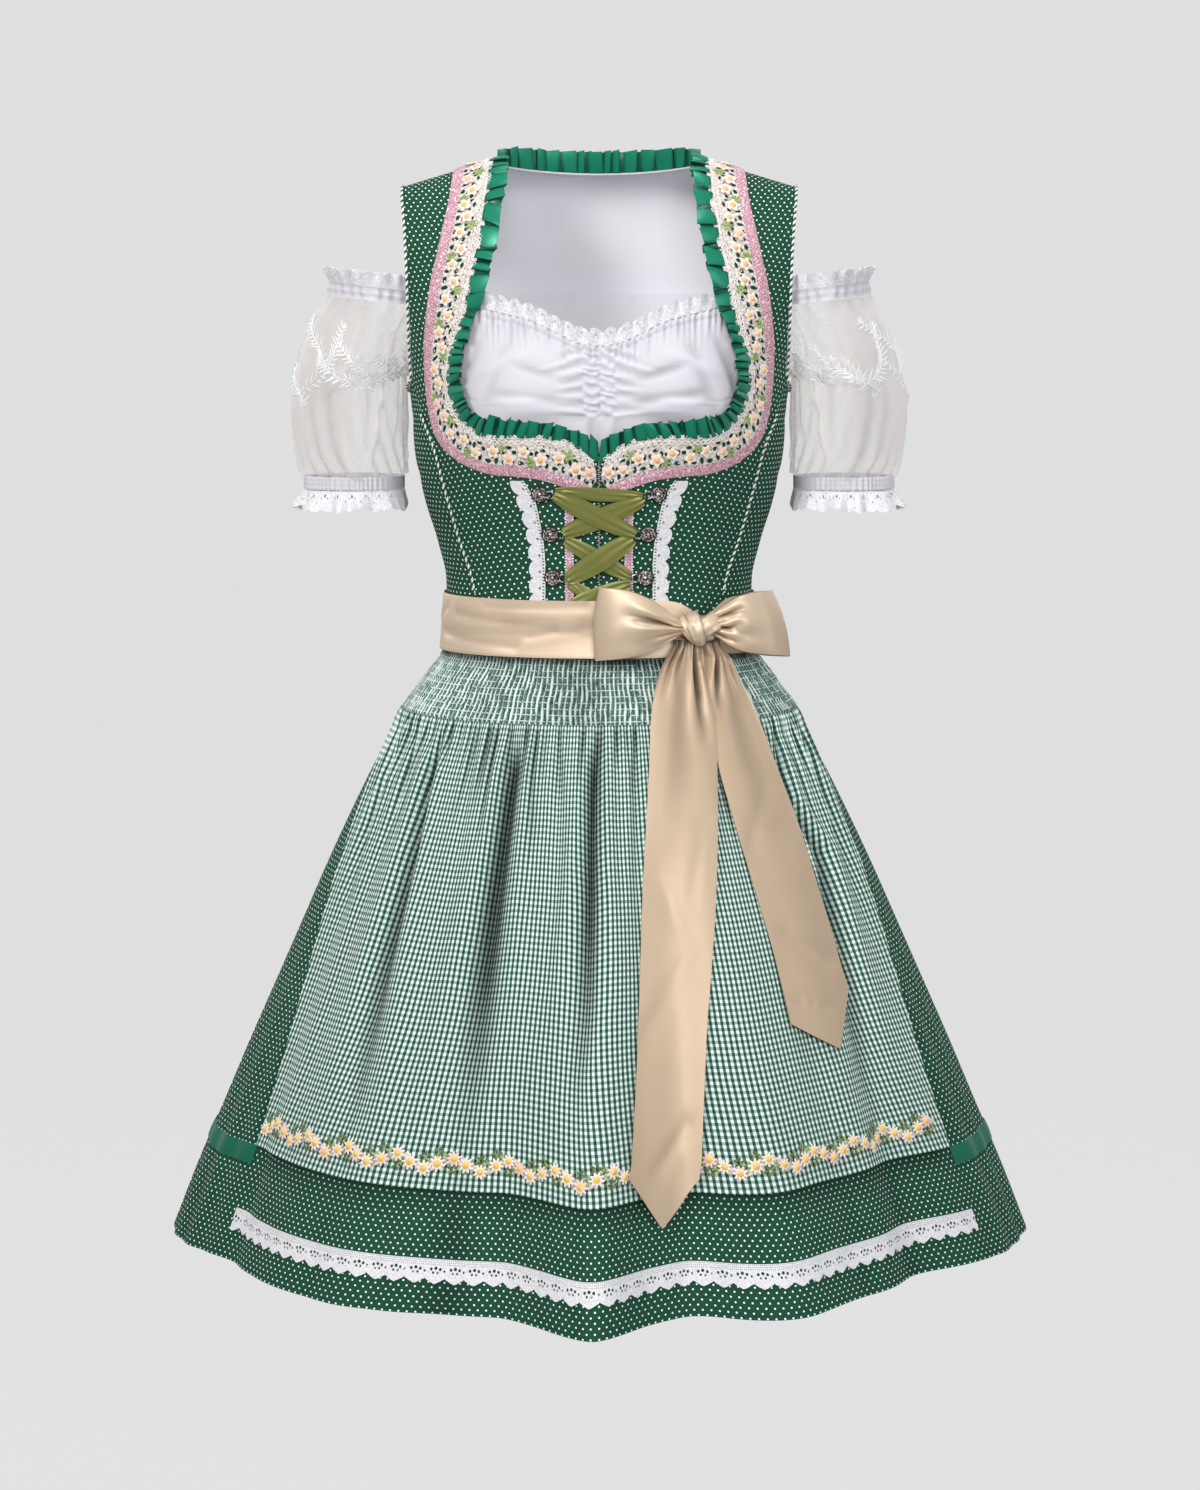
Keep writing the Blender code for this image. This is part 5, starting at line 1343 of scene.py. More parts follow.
def front_strips():
    up = np.array([0, 0, 1.0])
    for name, table, look, thick, slot, size in (
            ("scallop_lace_", SCALLOP, SCALLOP_LOOK, 0.5, "white_cotton", (110, 12)),
            ("pink_edging_", PINK_EDGE, BRAID, 0.8, "pink_braid", (86, 6))):
        pink = table is PINK_EDGE
        low, high = table.data[[0, -1], 0]
        t, z = mesh((0, 1, 7), (high, low, 200))
        inner, outer = table.at(z, "inner", "outer")
        run = high - z
        if not pink:
            outer = outer - 3.4 + scalloped(4.6, 13.6, run + 2.0)
        x = blend(outer, inner, t)
        if pink:
            x = x + 0.5 * np.sin(run / 1.25 * pi) * ((t < 0.1) * 1.0 - (t > 0.9))
        p, n = on_bodice(x, z, LAY + 0.75)
        p = off(p, n, 0.18 * np.sin(run / 1.3) * np.sin(5 * t))
        for side, sign in SIDES:
            q, m, w = sided(sign, p, n, uv_of(run, (1 - t) * (outer - inner)))
            work, going = Work().grid(q, w, thick, normals=m), []
            if pink:
                picots = Work()
                for level in np.arange(high - 1.5, low + 1, -2.3):
                    for edge in table.at(level, "inner", "outer"):
                        at, out = (a * (sign, 1, 1) for a in on_bodice(edge, level, LAY + 0.8))
                        picots.dome(at, unit(np.cross(up, out)), up, out, 0.95, 0.6, 0)
                going = [picots.build("pink_edging_%s_picots" % side, PICOT, slot)]
            work.sheet(name + side, "trim", look, slot, size, "laid",
                       "bodice_front_%s_cloth" % side, going=going)


def zip_strip():
    x, z = mesh((9, -9, 9), (-245, -388, 64))
    p, n = on_bodice(x, z, -COTTON - LAY)
    teeth = Work()
    for j, level in enumerate(np.arange(-248, -387, -1.7)):
        at, out = on_bodice(0.55 if j % 2 else -0.55, level, -COTTON - LAY + 0.3)
        teeth.dome(at, np.array([1.6, 0, 0]), np.array([0, 0, 0.75]), out, 0.9, 1.0, 0)
    row = teeth.build("front_zip_teeth", ZIP_TEETH, "white_cotton")
    Work().grid(p, uv_of(x, z), 0.7, normals=n).sheet(
        "front_zip", "strip", ZIP_TAPE, "white_cotton", (18, 134), "laid",
        "bodice_front_right_cloth", going=[row])


# ---- piping, hooks and lacing
def pipings():
    front = torso(*stations("edge", np.linspace(LAST_STATION, 12, 90)))
    front[0, 1] = 0.0
    y = np.linspace(-20, 20, 26)
    z = underarm(y)
    under = stacked(TORSO.at(z, "half_width") + SEAM, y, z)
    rear = torso(*BACK.at(np.linspace(5, 0.12, 60), "edge_x", "edge_z"), False)
    loop = np.concatenate([front, under, rear, front[:1]])
    run = lengths(loop)
    even = np.linspace(0, run[-1], 321)[:-1]
    loop = np.stack([np.interp(even, run, loop[:, k]) for k in range(3)], -1)
    top = ((np.abs(loop[:, 1]) < 8) & (loop[:, 2] > -45))[:, None]
    out = np.where(top, unit(np.array([SHOULDER_SLOPE, 0, 1.0])), form_normal(loop))
    for _ in range(6):
        out = unit(out + np.roll(out, 1, 0) + np.roll(out, -1, 0))
        loop = (loop + 0.5 * np.roll(loop, 1, 0) + 0.5 * np.roll(loop, -1, 0)) / 2
    seam = torso(*stations("edge", np.linspace(6.8, 11, 120)))
    for side, sign in SIDES:
        for name, line, n, radius, sides, form in (
                ("armhole", loop, out, 1.15, 9, {"closed": True, "axis": (1, 0, 0)}),
                ("princess", seam, form_normal(seam), 1.0, 8, {})):
            work, node = Work(), "%s_piping_%s" % (name, side)
            work.tube((line + n * 1.5) * (sign, 1, 1), radius, sides, **form)
            work.build(node + "_cord", PIPING, "twisted_piping", node)


HOOKS = ((47.5, -277), (39.5, -310), (37.3, -346))


def hook(sign, x, z, node):
    """Small filigree plate: curls and beads round a boss, with a ring for the lacing."""
    point = torso(sign * x, z)
    out = form_normal(point)
    along = unit(np.cross([0, 0, 1.0], out)) * -sign
    up = unit(np.cross(out, along))
    work = Work()

    def at(u, v, rise):
        return point - BEHIND + out * (LAY + THIN + SEAM + rise) + along * u + up * v

    def curl(u, v, radius, wire, start=0.0, turns=1.0, rise=0.7, grow=0.0):
        t = np.linspace(0, 1, 22)[:, None]
        a, r = start + 2 * pi * turns * t, radius * (1 - grow * t)
        line = at(u, v, rise) + r * (np.cos(a) * along + np.sin(a) * up) + 0.25 * np.sin(
            a * 2) * out
        closed = turns == 1.0
        work.tube(line[:-1] if closed else line, wire, 6, closed=closed, axis=out)

    # The nearly black plate under the filigree.
    work.dome(at(0, 0, -0.1), along, up, out, 7.4, 0.5, 1, 20)
    curl(0, 0, 3.1, 0.55)
    curl(0, 0, 5.4, 0.45, rise=0.5)
    for a in ring_turns(6) + 0.3:
        curl(4.3 * cos(a), 4.3 * sin(a), 1.55, 0.42, a, 1.4, 0.8, 0.5)
        b = a + pi / 6
        work.dome(at(5.6 * cos(b), 5.6 * sin(b), 0.5), along, up, out, 0.75, 0.8, 0, 7)
    work.dome(at(0, 0, 0.5), along, up, out, 2.0, 1.6, 0, 10)
    for a in ring_turns(7):
        work.dome(at(2.5 * cos(a), 2.5 * sin(a), 0.9), along, up, out, 0.55, 0.55, 0, 6)
    inward = np.array([-sign, 0, 0.0])
    inward = unit(inward - out * (inward @ out))
    a = np.linspace(0, 2 * pi, 30)[:-1, None]
    work.tube(at(0, 0, 0.75) + inward * 8.4 + 3.1 * (np.cos(a) * inward + np.sin(a) * up), 0.6,
              closed=True, axis=out)
    work.build(node + "_metal", [SILVER, DARK_PLATE], "old_silver", node)


def hooks():
    for side, sign in SIDES:
        for number, (x, z) in enumerate(HOOKS, 1):
            hook(sign, x, z, "hook_%s_%d" % (side, number))


# Lacing: x and z of both ends, width, and how far it is off the bodice along its way.
LACING = ((-35, -274.5, 35, -278.5, 11, 2.2, 2.2, 2.2),
          (-36, -277, 29, -309, 16, 3.6, 5.0, 5.0),
          (35, -281, -29, -309, 16, 3.6, 3.6, 2.2),
          (27, -312.5, -25.5, -347, 18, 3.6, 5.2, 3.6),
          (-27, -314, 25, -345, 14, 3.6, 2.2, 2.8),
          (25, -351, -22, -368, 15, 3.6, 4.0, 2.7),
          (-24.8, -350, 0, -364, 10, 2.8, 2.3, 2.2))


def lacings():
    for number, (x0, z0, x1, z1, width, start, middle, end) in enumerate(LACING, 1):
        t, s = mesh((0, 1, 61), (-1, 1, 13))
        length = hypot(x1 - x0, z1 - z0)
        down = unit(np.array([z1 - z0, x0 - x1]))
        down = -down if down[1] > 0 else down
        half = 0.5 * width * blend(0.5, 1.0, np.sin(pi * t) ** 0.6)
        x = blend(x0, x1, t) + down[0] * half * s
        z = blend(z0, z1, t) + down[1] * half * s - 0.36 * np.sin(pi * t)
        stand = np.where(t < 0.5, blend(start, middle, 2 * t), blend(middle, end, 2 * t - 1))
        near = np.exp(-t / 0.16) + np.exp(-(1 - t) / 0.16)
        pleat = 0.75 * near * np.cos(2.6 * pi * s + number)
        crown = 0.55 * (1 - s ** 2) - 0.35 * near * np.abs(s)
        ridge = 0.35 * bell(s - 0.5 * (2 * t - 1), 0.22) * (1 - near * 0.5)
        p, n = on_bodice(x, z, stand + 0.8 + pleat + crown - ridge)
        way = 1 if x1 < x0 else -1
        p, n, uv = (g[:, ::way] for g in (p, n, uv_of(s * width / 2, t * length)))
        Work().grid(p, uv, 0.45, normals=n).sheet(
            "lacing_%d" % number, "satin", OLIVE, "olive_ribbon", (width, length), "stretched",
            "hook_left_1_metal hook_right_1_metal")


# ---- blouse
# Soft folds of the blouse front: x and z of both ends, half width, depth.
BLOUSE_FOLDS = (
    (12, -176, 52, -158, 3.4, 1.8), (12, -190, 74, -172, 4.0, 2.2),
    (12, -204, 88, -196, 4.4, 2.0), (12, -216, 80, -216, 4.2, 2.2),
    (12, -226, 60, -236, 4.0, 1.8), (14, -168, 40, -150, 2.8, 1.4),
    (96, -150, 118, -205, 5.5, 1.8), (108, -140, 128, -180, 4.8, 1.5),
    (70, -146, 96, -214, 7.0, 1.2), (44, -160, 100, -182, 5.0, -1.2),
    (30, -198, 84, -206, 4.5, -1.0))
BLOUSE_INSET = {True: 4.3, False: 6.9}            # of the front and of the back


def blouse_points(share, row, front):
    """Points of the blouse's form: share 0 at the centre and 1 at the side edge."""
    ex, ez, cz = BLOUSE.at(row, "edge_x", "edge_z", "front_z" if front else "back_z")
    sign = -1 if front else 1
    limit = np.where(row < 3.5, turn_of(np.minimum(ex, 158), ez, front), 0.0)
    turn, z = blend(90.0 * sign, limit, share), blend(cz, ez, share ** 1.5)
    p = torso_turn(turn, z)
    if front:
        top = BLOUSE_TOP.at(p[..., 0], "z")
        p = torso_turn(turn, blend(z, top, smooth(1.0, 0.0, row)))
    p[..., 1] += 0.3 * sign
    return p


def front_inset(x):
    """How far the blouse's front lies inside the bodice."""
    return BLOUSE_INSET[True] + 3.0 * smooth(75, 25, np.abs(x))


def blouse_shift(p):
    """Gathers under the lace, the ruched channel down the centre and the soft folds."""
    x, z = p[..., 0], p[..., 2]
    side, under = np.abs(x), BLOUSE_TOP.at(np.abs(x), "z") - z
    gathers = np.sin(x / 0.86 + 2.4 * wander(x, 51, 7.0)) + 0.5 * np.sin(
        x / 1.9 + 2.0 * wander(x, 52, 11.0))
    gathers = 1.1 * gathers * smooth(30 + 12 * wander(x, 57, 5.0), 4, under) * (
        0.4 + 0.6 * smooth(0, 3, under))
    casing = 0.7 * bell(under - 5.0, 2.4) - 0.5 * bell(under - 8.4, 1.1) - 0.6 * bell(
        under - 1.4, 1.0)
    centre = smooth(19.0, 8.0, side) * smooth(-236, -230, z) * smooth(2, 9, under)
    lean = (z + 0.30 * x + 1.5 * wander(x, 62, 2.6)) / 1.02
    ruche = 0.85 * np.sin(lean + 3.0 * wander(z + 9 * np.sign(x), 61, 4.0)) \
        + 0.45 * np.sin((z - 0.42 * x) / 1.55 + 2.4 * wander(z + 2 * x, 66, 3.4)) \
        - 1.2 * bell(x - 0.6 * wander(z, 64, 4.0), 1.1)
    channel = -0.7 * bell(side - 13.2 - wander(z, 63, 3.0), 1.4) * smooth(
        -240, -232, z) * smooth(2, 9, under)
    fan = z + 0.35 * (side - 14) * np.clip((z + 205) / 30, -1, 1)
    beside = 1.2 * np.sin(fan / 1.7 + 2.6 * wander(fan, 71, 9.0) + np.sign(x)) \
        * smooth(44 + 16 * wander(z, 73, 4.0), 14, side) * smooth(11, 14, side) \
        * smooth(3, 14, under)
    return gathers + casing + ruche * centre + channel + beside - pulls(p, BLOUSE_FOLDS) * (
        1.0 + 0.25 * np.sign(x))


def blouse():
    for name, front, count, rows, look, width in (
            ("blouse_front", True, 251, 88, BLOUSE_COTTON, 520),
            ("blouse_back", False, 71, 44, LINING, 470)):
        s, r = mesh((1, -1, count), (0, 3.6, rows), (3.8, 6, 4))
        if front:                   # closer together at the ruched centre
            s = 0.72 * s + 0.28 * s ** 3
        p = blouse_points(np.abs(s), r, front)
        p[..., 0] *= np.sign(s)
        if not front:
            p, s = p[:, ::-1], s[:, ::-1]
        n = form_normal(p)
        base = off(p, n, -front_inset(p[..., 0]) if front else -BLOUSE_INSET[False] + 0 * s)
        x = base[..., 0]
        if front:
            shift = blouse_shift(base)
        else:
            shift = 0.6 * np.sin(x / 3.1 + 1.5 * wander(x, 53, 9.0)) * smooth(
                30, 4, base[0, :, 2] - base[..., 2])
        q = off(base, n, shift * smooth(0, 0.05, 1 - np.abs(s)))
        shade = fold_depth(shift, 2.8, 0.4) * (1 - 0.55 * smooth(30, 12, np.abs(x)))
        Work().grid(q, uv_of(lengths(p, 1, count // 2), -lengths(p)), 0.8, normals=n,
                    fold=shade).sheet(name, "cloth", look, "white_cotton", (width, 200),
                                      "gathered", "bodice_back_cloth", 0.72)


def blouse_lace():
    x, t = mesh((112, -112, 481), (0, 1, 9))
    top = BLOUSE_TOP.at(np.abs(x), "z")
    run = np.broadcast_to(lengths(torso(x[0], top[0])) * 1.25, x.shape)
    high = 8.6 + scalloped(5.0, 15.0, run) + 0.5 * np.abs(np.sin(run / 1.4 * pi))
    p = torso(x, top - 1.2 + high * (1 - t))
    n = form_normal(p)
    frill = 2.2 * np.sin(run / 2.75 + 1.2 * wander(run, 81, 13.0)) * (1 - t) ** 0.8
    Work().grid(off(p, n, frill + 1.0 - front_inset(x)), uv_of(run, -high * t), 0.4,
                normals=n).sheet("blouse_lace", "frill", BLOUSE_LACE, "white_cotton", (330, 14),
                                 "gathered", "blouse_front_cloth")


# ---- sleeves
def through(points, steps):
    """A smooth curve through points."""
    points = [2 * points[0] - points[1]] + list(points) + [2 * points[-1] - points[-2]]
    t = (np.arange(steps) / steps)[:, None]
    curve = [0.5 * (2 * b + (c - a) * t + (2 * a - 5 * b + 4 * c - d) * t * t
                    + (3 * b - a - 3 * c + d) * t ** 3)
             for a, b, c, d in zip(points, points[1:], points[2:], points[3:])]
    return np.concatenate(curve + [points[-2][None]])


def sleeve_row(row, steps=26):
    seam_x, seam_z, neck_x, neck_y, bulge_x, bulge_y, outer_x, outer_z = SLEEVE.at(
        row, *SLEEVE.names[1:])
    near, far = [], []
    for front, sign, ends in ((True, -1, near), (False, 1, far)):
        seam = torso(seam_x, seam_z, front)
        seam = seam - form_normal(seam) * (BLOUSE_INSET[front] - THIN) + (0.9, 0, 0)
        seam = blend(seam, np.array([seam_x, 0.45 * sign, 0]), smooth(3.0, 4.0, row))
        ends += [seam, (neck_x, sign * neck_y, 0), (bulge_x, sign * bulge_y, 0)]
    line = through([np.array(p) * (1, 1, 0) for p in near + [(outer_x, 0, 0)] + far[::-1]], steps)
    line[:, 2] = blend(seam_z, outer_z, (line[:, 0] - seam_x) / (outer_x - seam_x))
    return line


# Embroidered sprays: share round the sleeve, share down it, length, lean.
SPRAYS = (
    (0.20, 0.38, 46, 0.7), (0.31, 0.44, 44, -0.6), (0.40, 0.36, 44, 0.7), (0.47, 0.50, 42, -0.5),
    (0.54, 0.34, 42, 0.4), (0.64, 0.52, 44, -0.5), (0.76, 0.38, 42, 0.6), (0.12, 0.56, 34, -0.6),
    (0.88, 0.54, 34, 0.5), (0.26, 0.49, 40, 0.9), (0.345, 0.50, 38, -0.8), (0.44, 0.30, 34, -0.5),
    (0.235, 0.46, 36, -0.3))
# Drapes: share round and down at both ends, half width, depth.
SLEEVE_CREASES = (
    (0.10, 0.40, 0.19, 0.82, 0.010, 3.4), (0.17, 0.48, 0.27, 0.92, 0.010, 3.0),
    (0.05, 0.60, 0.11, 0.96, 0.009, 2.6), (0.25, 0.62, 0.20, 0.80, 0.009, 2.2),
    (0.31, 0.30, 0.37, 0.66, 0.012, 2.4), (0.40, 0.55, 0.38, 0.95, 0.010, 2.2),
    (0.20, 0.06, 0.24, 0.34, 0.010, 2.0), (0.62, 0.30, 0.70, 0.80, 0.012, 3.0),
    (0.80, 0.40, 0.88, 0.92, 0.012, 3.0), (0.52, 0.62, 0.55, 0.95, 0.010, 2.2))


def sleeves():
    rows = spaced((1, 1.5, 12), (1.56, 6.4, 56), (6.45, 7, 14))
    grid = np.stack([sleeve_row(r) for r in rows])
    share, down = np.linspace(0, 1, grid.shape[1])[None], ((rows - 1) / 6.0)[:, None]
    n = grid_normals(grid)
    run = lengths(grid, 1, grid.shape[1] // 2)
    top = 1.2 * np.sin(run / 2.6 + 1.6 * wander(run, 91, 12.0)) * smooth(0.22, 0.0, down)
    low = 2.2 * np.sin(run / 2.5 + 1.7 * wander(run, 93, 12.0)) * smooth(0.66, 1.0, down)
    long = 2.2 * wander(run + 5 * down, 95, 13.0) * np.sin(pi * down) ** 0.6
    drapes = 0.0
    for s0, t0, s1, t1, wide, deep in SLEEVE_CREASES:
        k = np.clip((down - t0) / (t1 - t0), 0, 1)
        fade = smooth(t0 - 0.05, t0 + 0.08, down) * smooth(t1 + 0.05, t1 - 0.08, down)
        drapes = drapes - deep * fade * crease(
            share - blend(s0, s1, k) - 0.015 * np.sin(pi * k), wide, 0.6, 1.9)
    shift = (top + low + long + drapes - 1.0) * smooth(0, 0.07, share) * smooth(1, 0.93, share)
    double = 0.62 * smooth(0.325, 0.34, share) * smooth(0.675, 0.66, share)   # seam allowance
    veil = np.maximum(fold_depth(drapes + 0.5 * (top + low), 2.2, 0.3), double)
    for side, sign in SIDES:
        q, m, w, v = sided(sign, off(grid, n, shift), n, uv_of(run * 1.3, -lengths(grid)), veil)
        work = Work().grid(q, w, fold=v)
        for line in (q[:, 0], q[:, -1]):
            work.tube(line[::2], 0.55, 6, kind=1)
        for place, *rest in SPRAYS:
            spray(work, q, m, place if sign > 0 else 1 - place, *rest)
        work.sheet("sleeve_" + side, "cloth", [ORGANZA, SPRAY], "organza", (420, 165),
                   "gathered", "sleeve_top_band_%s_cloth" % side, 0.80)


def spray(work, grid, normals, share, height, size, lean):
    """A stem with paired leaves, embroidered on the sleeve."""
    local = np.random.default_rng(int(share * 1000) + 3)
    rows, columns = grid.shape[:2]

    def at(s, t):
        """Point just proud of the cloth, and the cloth's normal there."""
        y, x = min(1.0, max(0.0, t)) * (rows - 1), min(1.0, max(0.0, s)) * (columns - 1)
        j, i = min(int(y), rows - 2), min(int(x), columns - 2)
        spot, out = (blend(blend(g[j, i], g[j, i + 1], x - i),
                           blend(g[j + 1, i], g[j + 1, i + 1], x - i), y - j)
                     for g in (grid, normals))
        out = unit(out)
        if np.dot(out, spot - grid[j].mean(0)) < 0:
            out = -out
        return spot + out * 0.7, out

    tall = np.linalg.norm(grid[-1, columns // 2] - grid[0, columns // 2])
    wide = lengths(grid[rows // 2])[-1]
    steps = 17
    stem = [at(share + lean * size / wide * (t - 0.5) + 0.022 * sin(4.2 * t),
               height + size / tall * (0.5 - t)) for t in np.arange(steps) / (steps - 1)]
    work.tube([p for p, _ in stem], 0.42, 5, kind=1)
    for k in range(1, steps):
        (before, _), (base, out) = stem[k - 1:k + 1]
        way = unit(base - before)
        across = unit(np.cross(out, way))
        for sign in (-1, 1):
            along = unit(way * 0.75 + across * sign * local.uniform(0.6, 0.95) + out * 0.06)
            work.leaf(base, along, unit(np.cross(out, along)), out,
                      local.uniform(8.0, 16.0) * (1.1 - 0.5 * k / steps), 0.72, 0.3, 1)
    work.leaf(base, way, across, out, 6.0, 1.2, 0.4, 1)


def bands():
    """Elastic bands with lace frills, at the top of the sleeves and round the cuffs."""
    crown, seat, low = (sleeve_row(r, 44) for r in (0, 0, 1))
    count = np.arange(len(seat))
    share = np.minimum(count, count[::-1]) / 44.0
    rise, run = smooth(0, 0.6, share), lengths(seat)
    frill = 1.9 * np.sin(run / 2.3 + 1.3 * wander(run, 97, 11.0)) * rise
    away = unit(stacked(crown[:, 0] - 190.0, crown[:, 1], 0.0))
    top = off(crown, away, 4.0 * smooth(1, 2, share) + frill)
    top[:, 2] += 1.5 + (8.6 + scalloped(2.6, 9.0, run) * rise) * rise
    t = np.linspace(0, 1, 11)[1:, None]
    grid = np.concatenate([blend(top, seat, np.linspace(0, 1, 6)[:, None, None]),
                           blend(seat, low + (0, 0, 0.8), t[..., None])])
    n = grid_normals(grid)
    t = np.concatenate([np.zeros((6, 1)), t])
    ribs = np.sin(run / 1.75 + 1.1 * wander(run, 99, 8.0)) * np.sin(pi * np.clip(
        t, 0.08, 0.92)) + 0.9 * np.abs(np.sin(t * pi * 2))
    p = off(grid, n, ribs * smooth(0, 0.4, share) - 0.4)
    for side, sign in SIDES:
        q, m, w = sided(sign, p, n, uv_of(run * 1.3, -lengths(grid)))
        work = Work().grid(q[:6], w[:6], 0.5, 1, normals=m[:6])
        work.grid(q[5:], w[5:], 0.5, normals=m[5:]).sheet(
            "sleeve_top_band_" + side, "cloth", [BLOUSE_COTTON, EYELET], "white_cotton",
            (300, 26), "gathered", "sleeve_%s_cloth" % side)
        for name, *form in (("cuff_band_", BLOUSE_COTTON, 0.0, (270, 12), 10),
                            ("cuff_frill_", EYELET, 7.0, (400, 16), 9)):
            cuff(name + side, sign, "sleeve_%s_cloth" % side, *form)


CUFF_RADIUS = 43.0


def cuff(node, sign, sleeve, look, flare, size, rows):
    """A ring of cloth round the arm, flat towards the body: the band or its frill."""
    t, turn = np.linspace(0, 1, rows)[:, None], ring_turns(288)[None]
    c, s, around = np.cos(turn), np.sin(turn), turn * CUFF_RADIUS
    grow = flare * t
    x = 205.0 + (42.5 + grow) * c
    x = np.where(c < 0, np.maximum(x, 163.6 - 0.3 * grow), x)
    if flare:
        z = -278.8 - (13.0 + scalloped(2.7, 9.0, around)) * t \
            + 1.6 * np.sin(turn * 7 + 2.0 * np.sin(turn * 3)) * t ** 1.5
        waves = 4.0 * np.sin(turn * 13 + 1.4 * np.sin(turn * 5 + 1)) * t ** 0.7 \
            - 1.2 * np.abs(np.sin(turn * 40)) * (1 - t) ** 2
    else:
        z = -267.2 - 10.8 * t
        waves = 0.8 * np.sin(turn * 62 + 2.0 * np.sin(turn * 7)) + 0.6 * np.abs(
            np.sin(t * pi * 3)) - 0.6
    out = stacked(c, s, 0 * x)
    p = off(stacked(x, (44.0 + grow) * s, z), out, waves * smooth(-0.75, -0.35, c))
    p, out = (a[:, ::-sign] * (sign, 1, 1) for a in (p, out))
    u = np.append(around, 2 * pi * CUFF_RADIUS)[None] * 1.3
    Work().grid(p, uv_of(u, -18.0 * t), 0.5, closed=True, normals=out).sheet(
        node, "cloth", look, "white_cotton", size, "gathered", sleeve)


# ---- belt and bow
BELT_PULL = (39.0, 9.0, 14.0, 6.0)   # angle, reach, drop of the top edge, rise of the lower
# Creases: angle and z of both ends, half width, depth.
BELT_CREASES = (
    (-62, -378, -14, -386, 4, 1.5), (-74, -396, -30, -404, 4, 1.3),
    (-44, -371, -4, -369, 3.4, 1.1), (4, -396, 44, -388, 4.5, 1.4),
    (-88, -390, -72, -374, 3.6, 1.2), (-24, -394, 20, -376, 3.6, 1.2),
    (95, -384, 140, -388, 5, 1.3), (150, -396, 200, -392, 5, 1.2),
    (176, -376, 214, -380, 4, 1.2), (220, -400, 256, -396, 5, 1.2))


def belt_point(angle, z):
    above = stacked(*oval(angle, *TORSO.at(z, "half_width", "front", "back"),
                          2 / SECTION_POWER), z)
    share = np.broadcast_to(smooth(-386, -396, z), above.shape[:-1])[..., None]
    return blend(above, skirt(angle, np.minimum(z, WAIST)), share)


def belt():
    a, t = mesh(-np.linspace(0, 360, 301)[:-1], (0, 1, 17))
    angle = (a + 90) % 360 - 90
    middle, reach, drop, rise = BELT_PULL
    behind = bell(angle - middle, reach)                # drawn in behind the knot
    z = blend(BELT_TOP - drop * behind, BELT_END + rise * behind, t)
    p = belt_point(a, z)
    sides, front = (np.interp(-z, (364.5, 378, 391, 412.5), stand) for stand in (
        (1.4, 2.2, 3.2, 3.2), (5.3, 5.0, 3.8, 3.2)))
    over = np.where(p[..., 1] < 0, smooth(90, 62, np.abs(p[..., 0])), 0.0)
    n = grid_normals(p, True)
    wrinkles = 0.5 * behind * np.sin(t * 22)
    for a0, z0, a1, z1, wide, deep in BELT_CREASES:
        k = np.clip((angle - a0) / (a1 - a0), 0, 1)
        away = np.hypot((angle - blend(a0, a1, k)) * 2.0, z - blend(z0, z1, k))
        wrinkles = wrinkles - 0.45 * deep * crease(away, wide, 0.5, 1.7)
    p = off(p, n, blend(sides, front, over) + 1.0 + wrinkles + 0.7 * np.sin(pi * t) ** 0.6)
    run = lengths(p, 1)
    uv = uv_of(-48 * t[:, :1], np.concatenate([run, run[:, -1:] + 2.3], 1))
    shade = fold_depth(wrinkles, 3.0, 0.2) + 0.35 * smooth(0.94, 1.0, t)
    Work().grid(p, uv, 0.7, closed=True, normals=n, fold=shade).sheet(
        "belt", "satin", CHAMPAGNE, "champagne_satin", (760, 48), "laid",
        "bodice_back_cloth apron_smocking_cloth")


KNOT, KNOT_SIZE = np.array([82.0, -95.3, -388.0]), np.array([15.0, 10.0, 12.5])
# Loops of the bow: outline, y of the rear wall, depth and drop, length; then the creases of
# the front wall: start and end across the ribbon, how far they reach from the knot, half
# width, depth.
LOOP_COLUMNS = "share top_x top_z low_x low_z"
LOOPS = (
    ("bow_loop_left", Table(
        LOOP_COLUMNS, (0, 73, -383.5, 72, -390.0), (0.10, 66.3, -380.4, 64, -393.5),
        (0.22, 58, -374.6, 55.7, -397.3), (0.35, 48.7, -367.2, 45, -402.9),
        (0.48, 39.3, -361.3, 33, -406.4), (0.72, 21.7, -354.9, 16, -409.4),
        (1.0, 0.6, -352.2, -2.6, -410.6)), (-98.0, -104.5, -106.5), 17.0, 2.8, 150,
     ((0.62, 0.10, 0.98, 0.13, 2.2), (-0.15, -0.62, 0.90, 0.13, 2.0),
      (0.16, 0.34, 0.80, 0.10, 6.5), (-0.40, -0.42, 0.40, 0.10, 4.0),
      (0.80, 0.86, 0.42, 0.10, 1.6), (-0.78, -0.70, 0.75, 0.15, 2.2))),
    ("bow_loop_right", Table(
        LOOP_COLUMNS, (0, 92, -377.5, 92, -391.0), (0.10, 96.5, -373.4, 98, -395.0),
        (0.25, 104.5, -367.4, 107, -401.2), (0.45, 115, -361.3, 118, -405.4),
        (0.70, 128, -358.8, 136, -408.6), (1.0, 142.5, -358.5, 157.0, -410.6)),
     (-95.0, -82.0, -64.0), 16.0, 4.2, 125,
     ((-0.05, -0.50, 0.92, 0.13, 2.4), (0.75, 0.20, 0.96, 0.12, 1.8),
      (-0.30, 0.10, 0.55, 0.10, 4.5), (0.45, 0.62, 0.70, 0.12, 3.4),
      (-0.72, -0.60, 0.62, 0.12, 3.2), (0.06, 0.34, 0.36, 0.07, 2.2))))


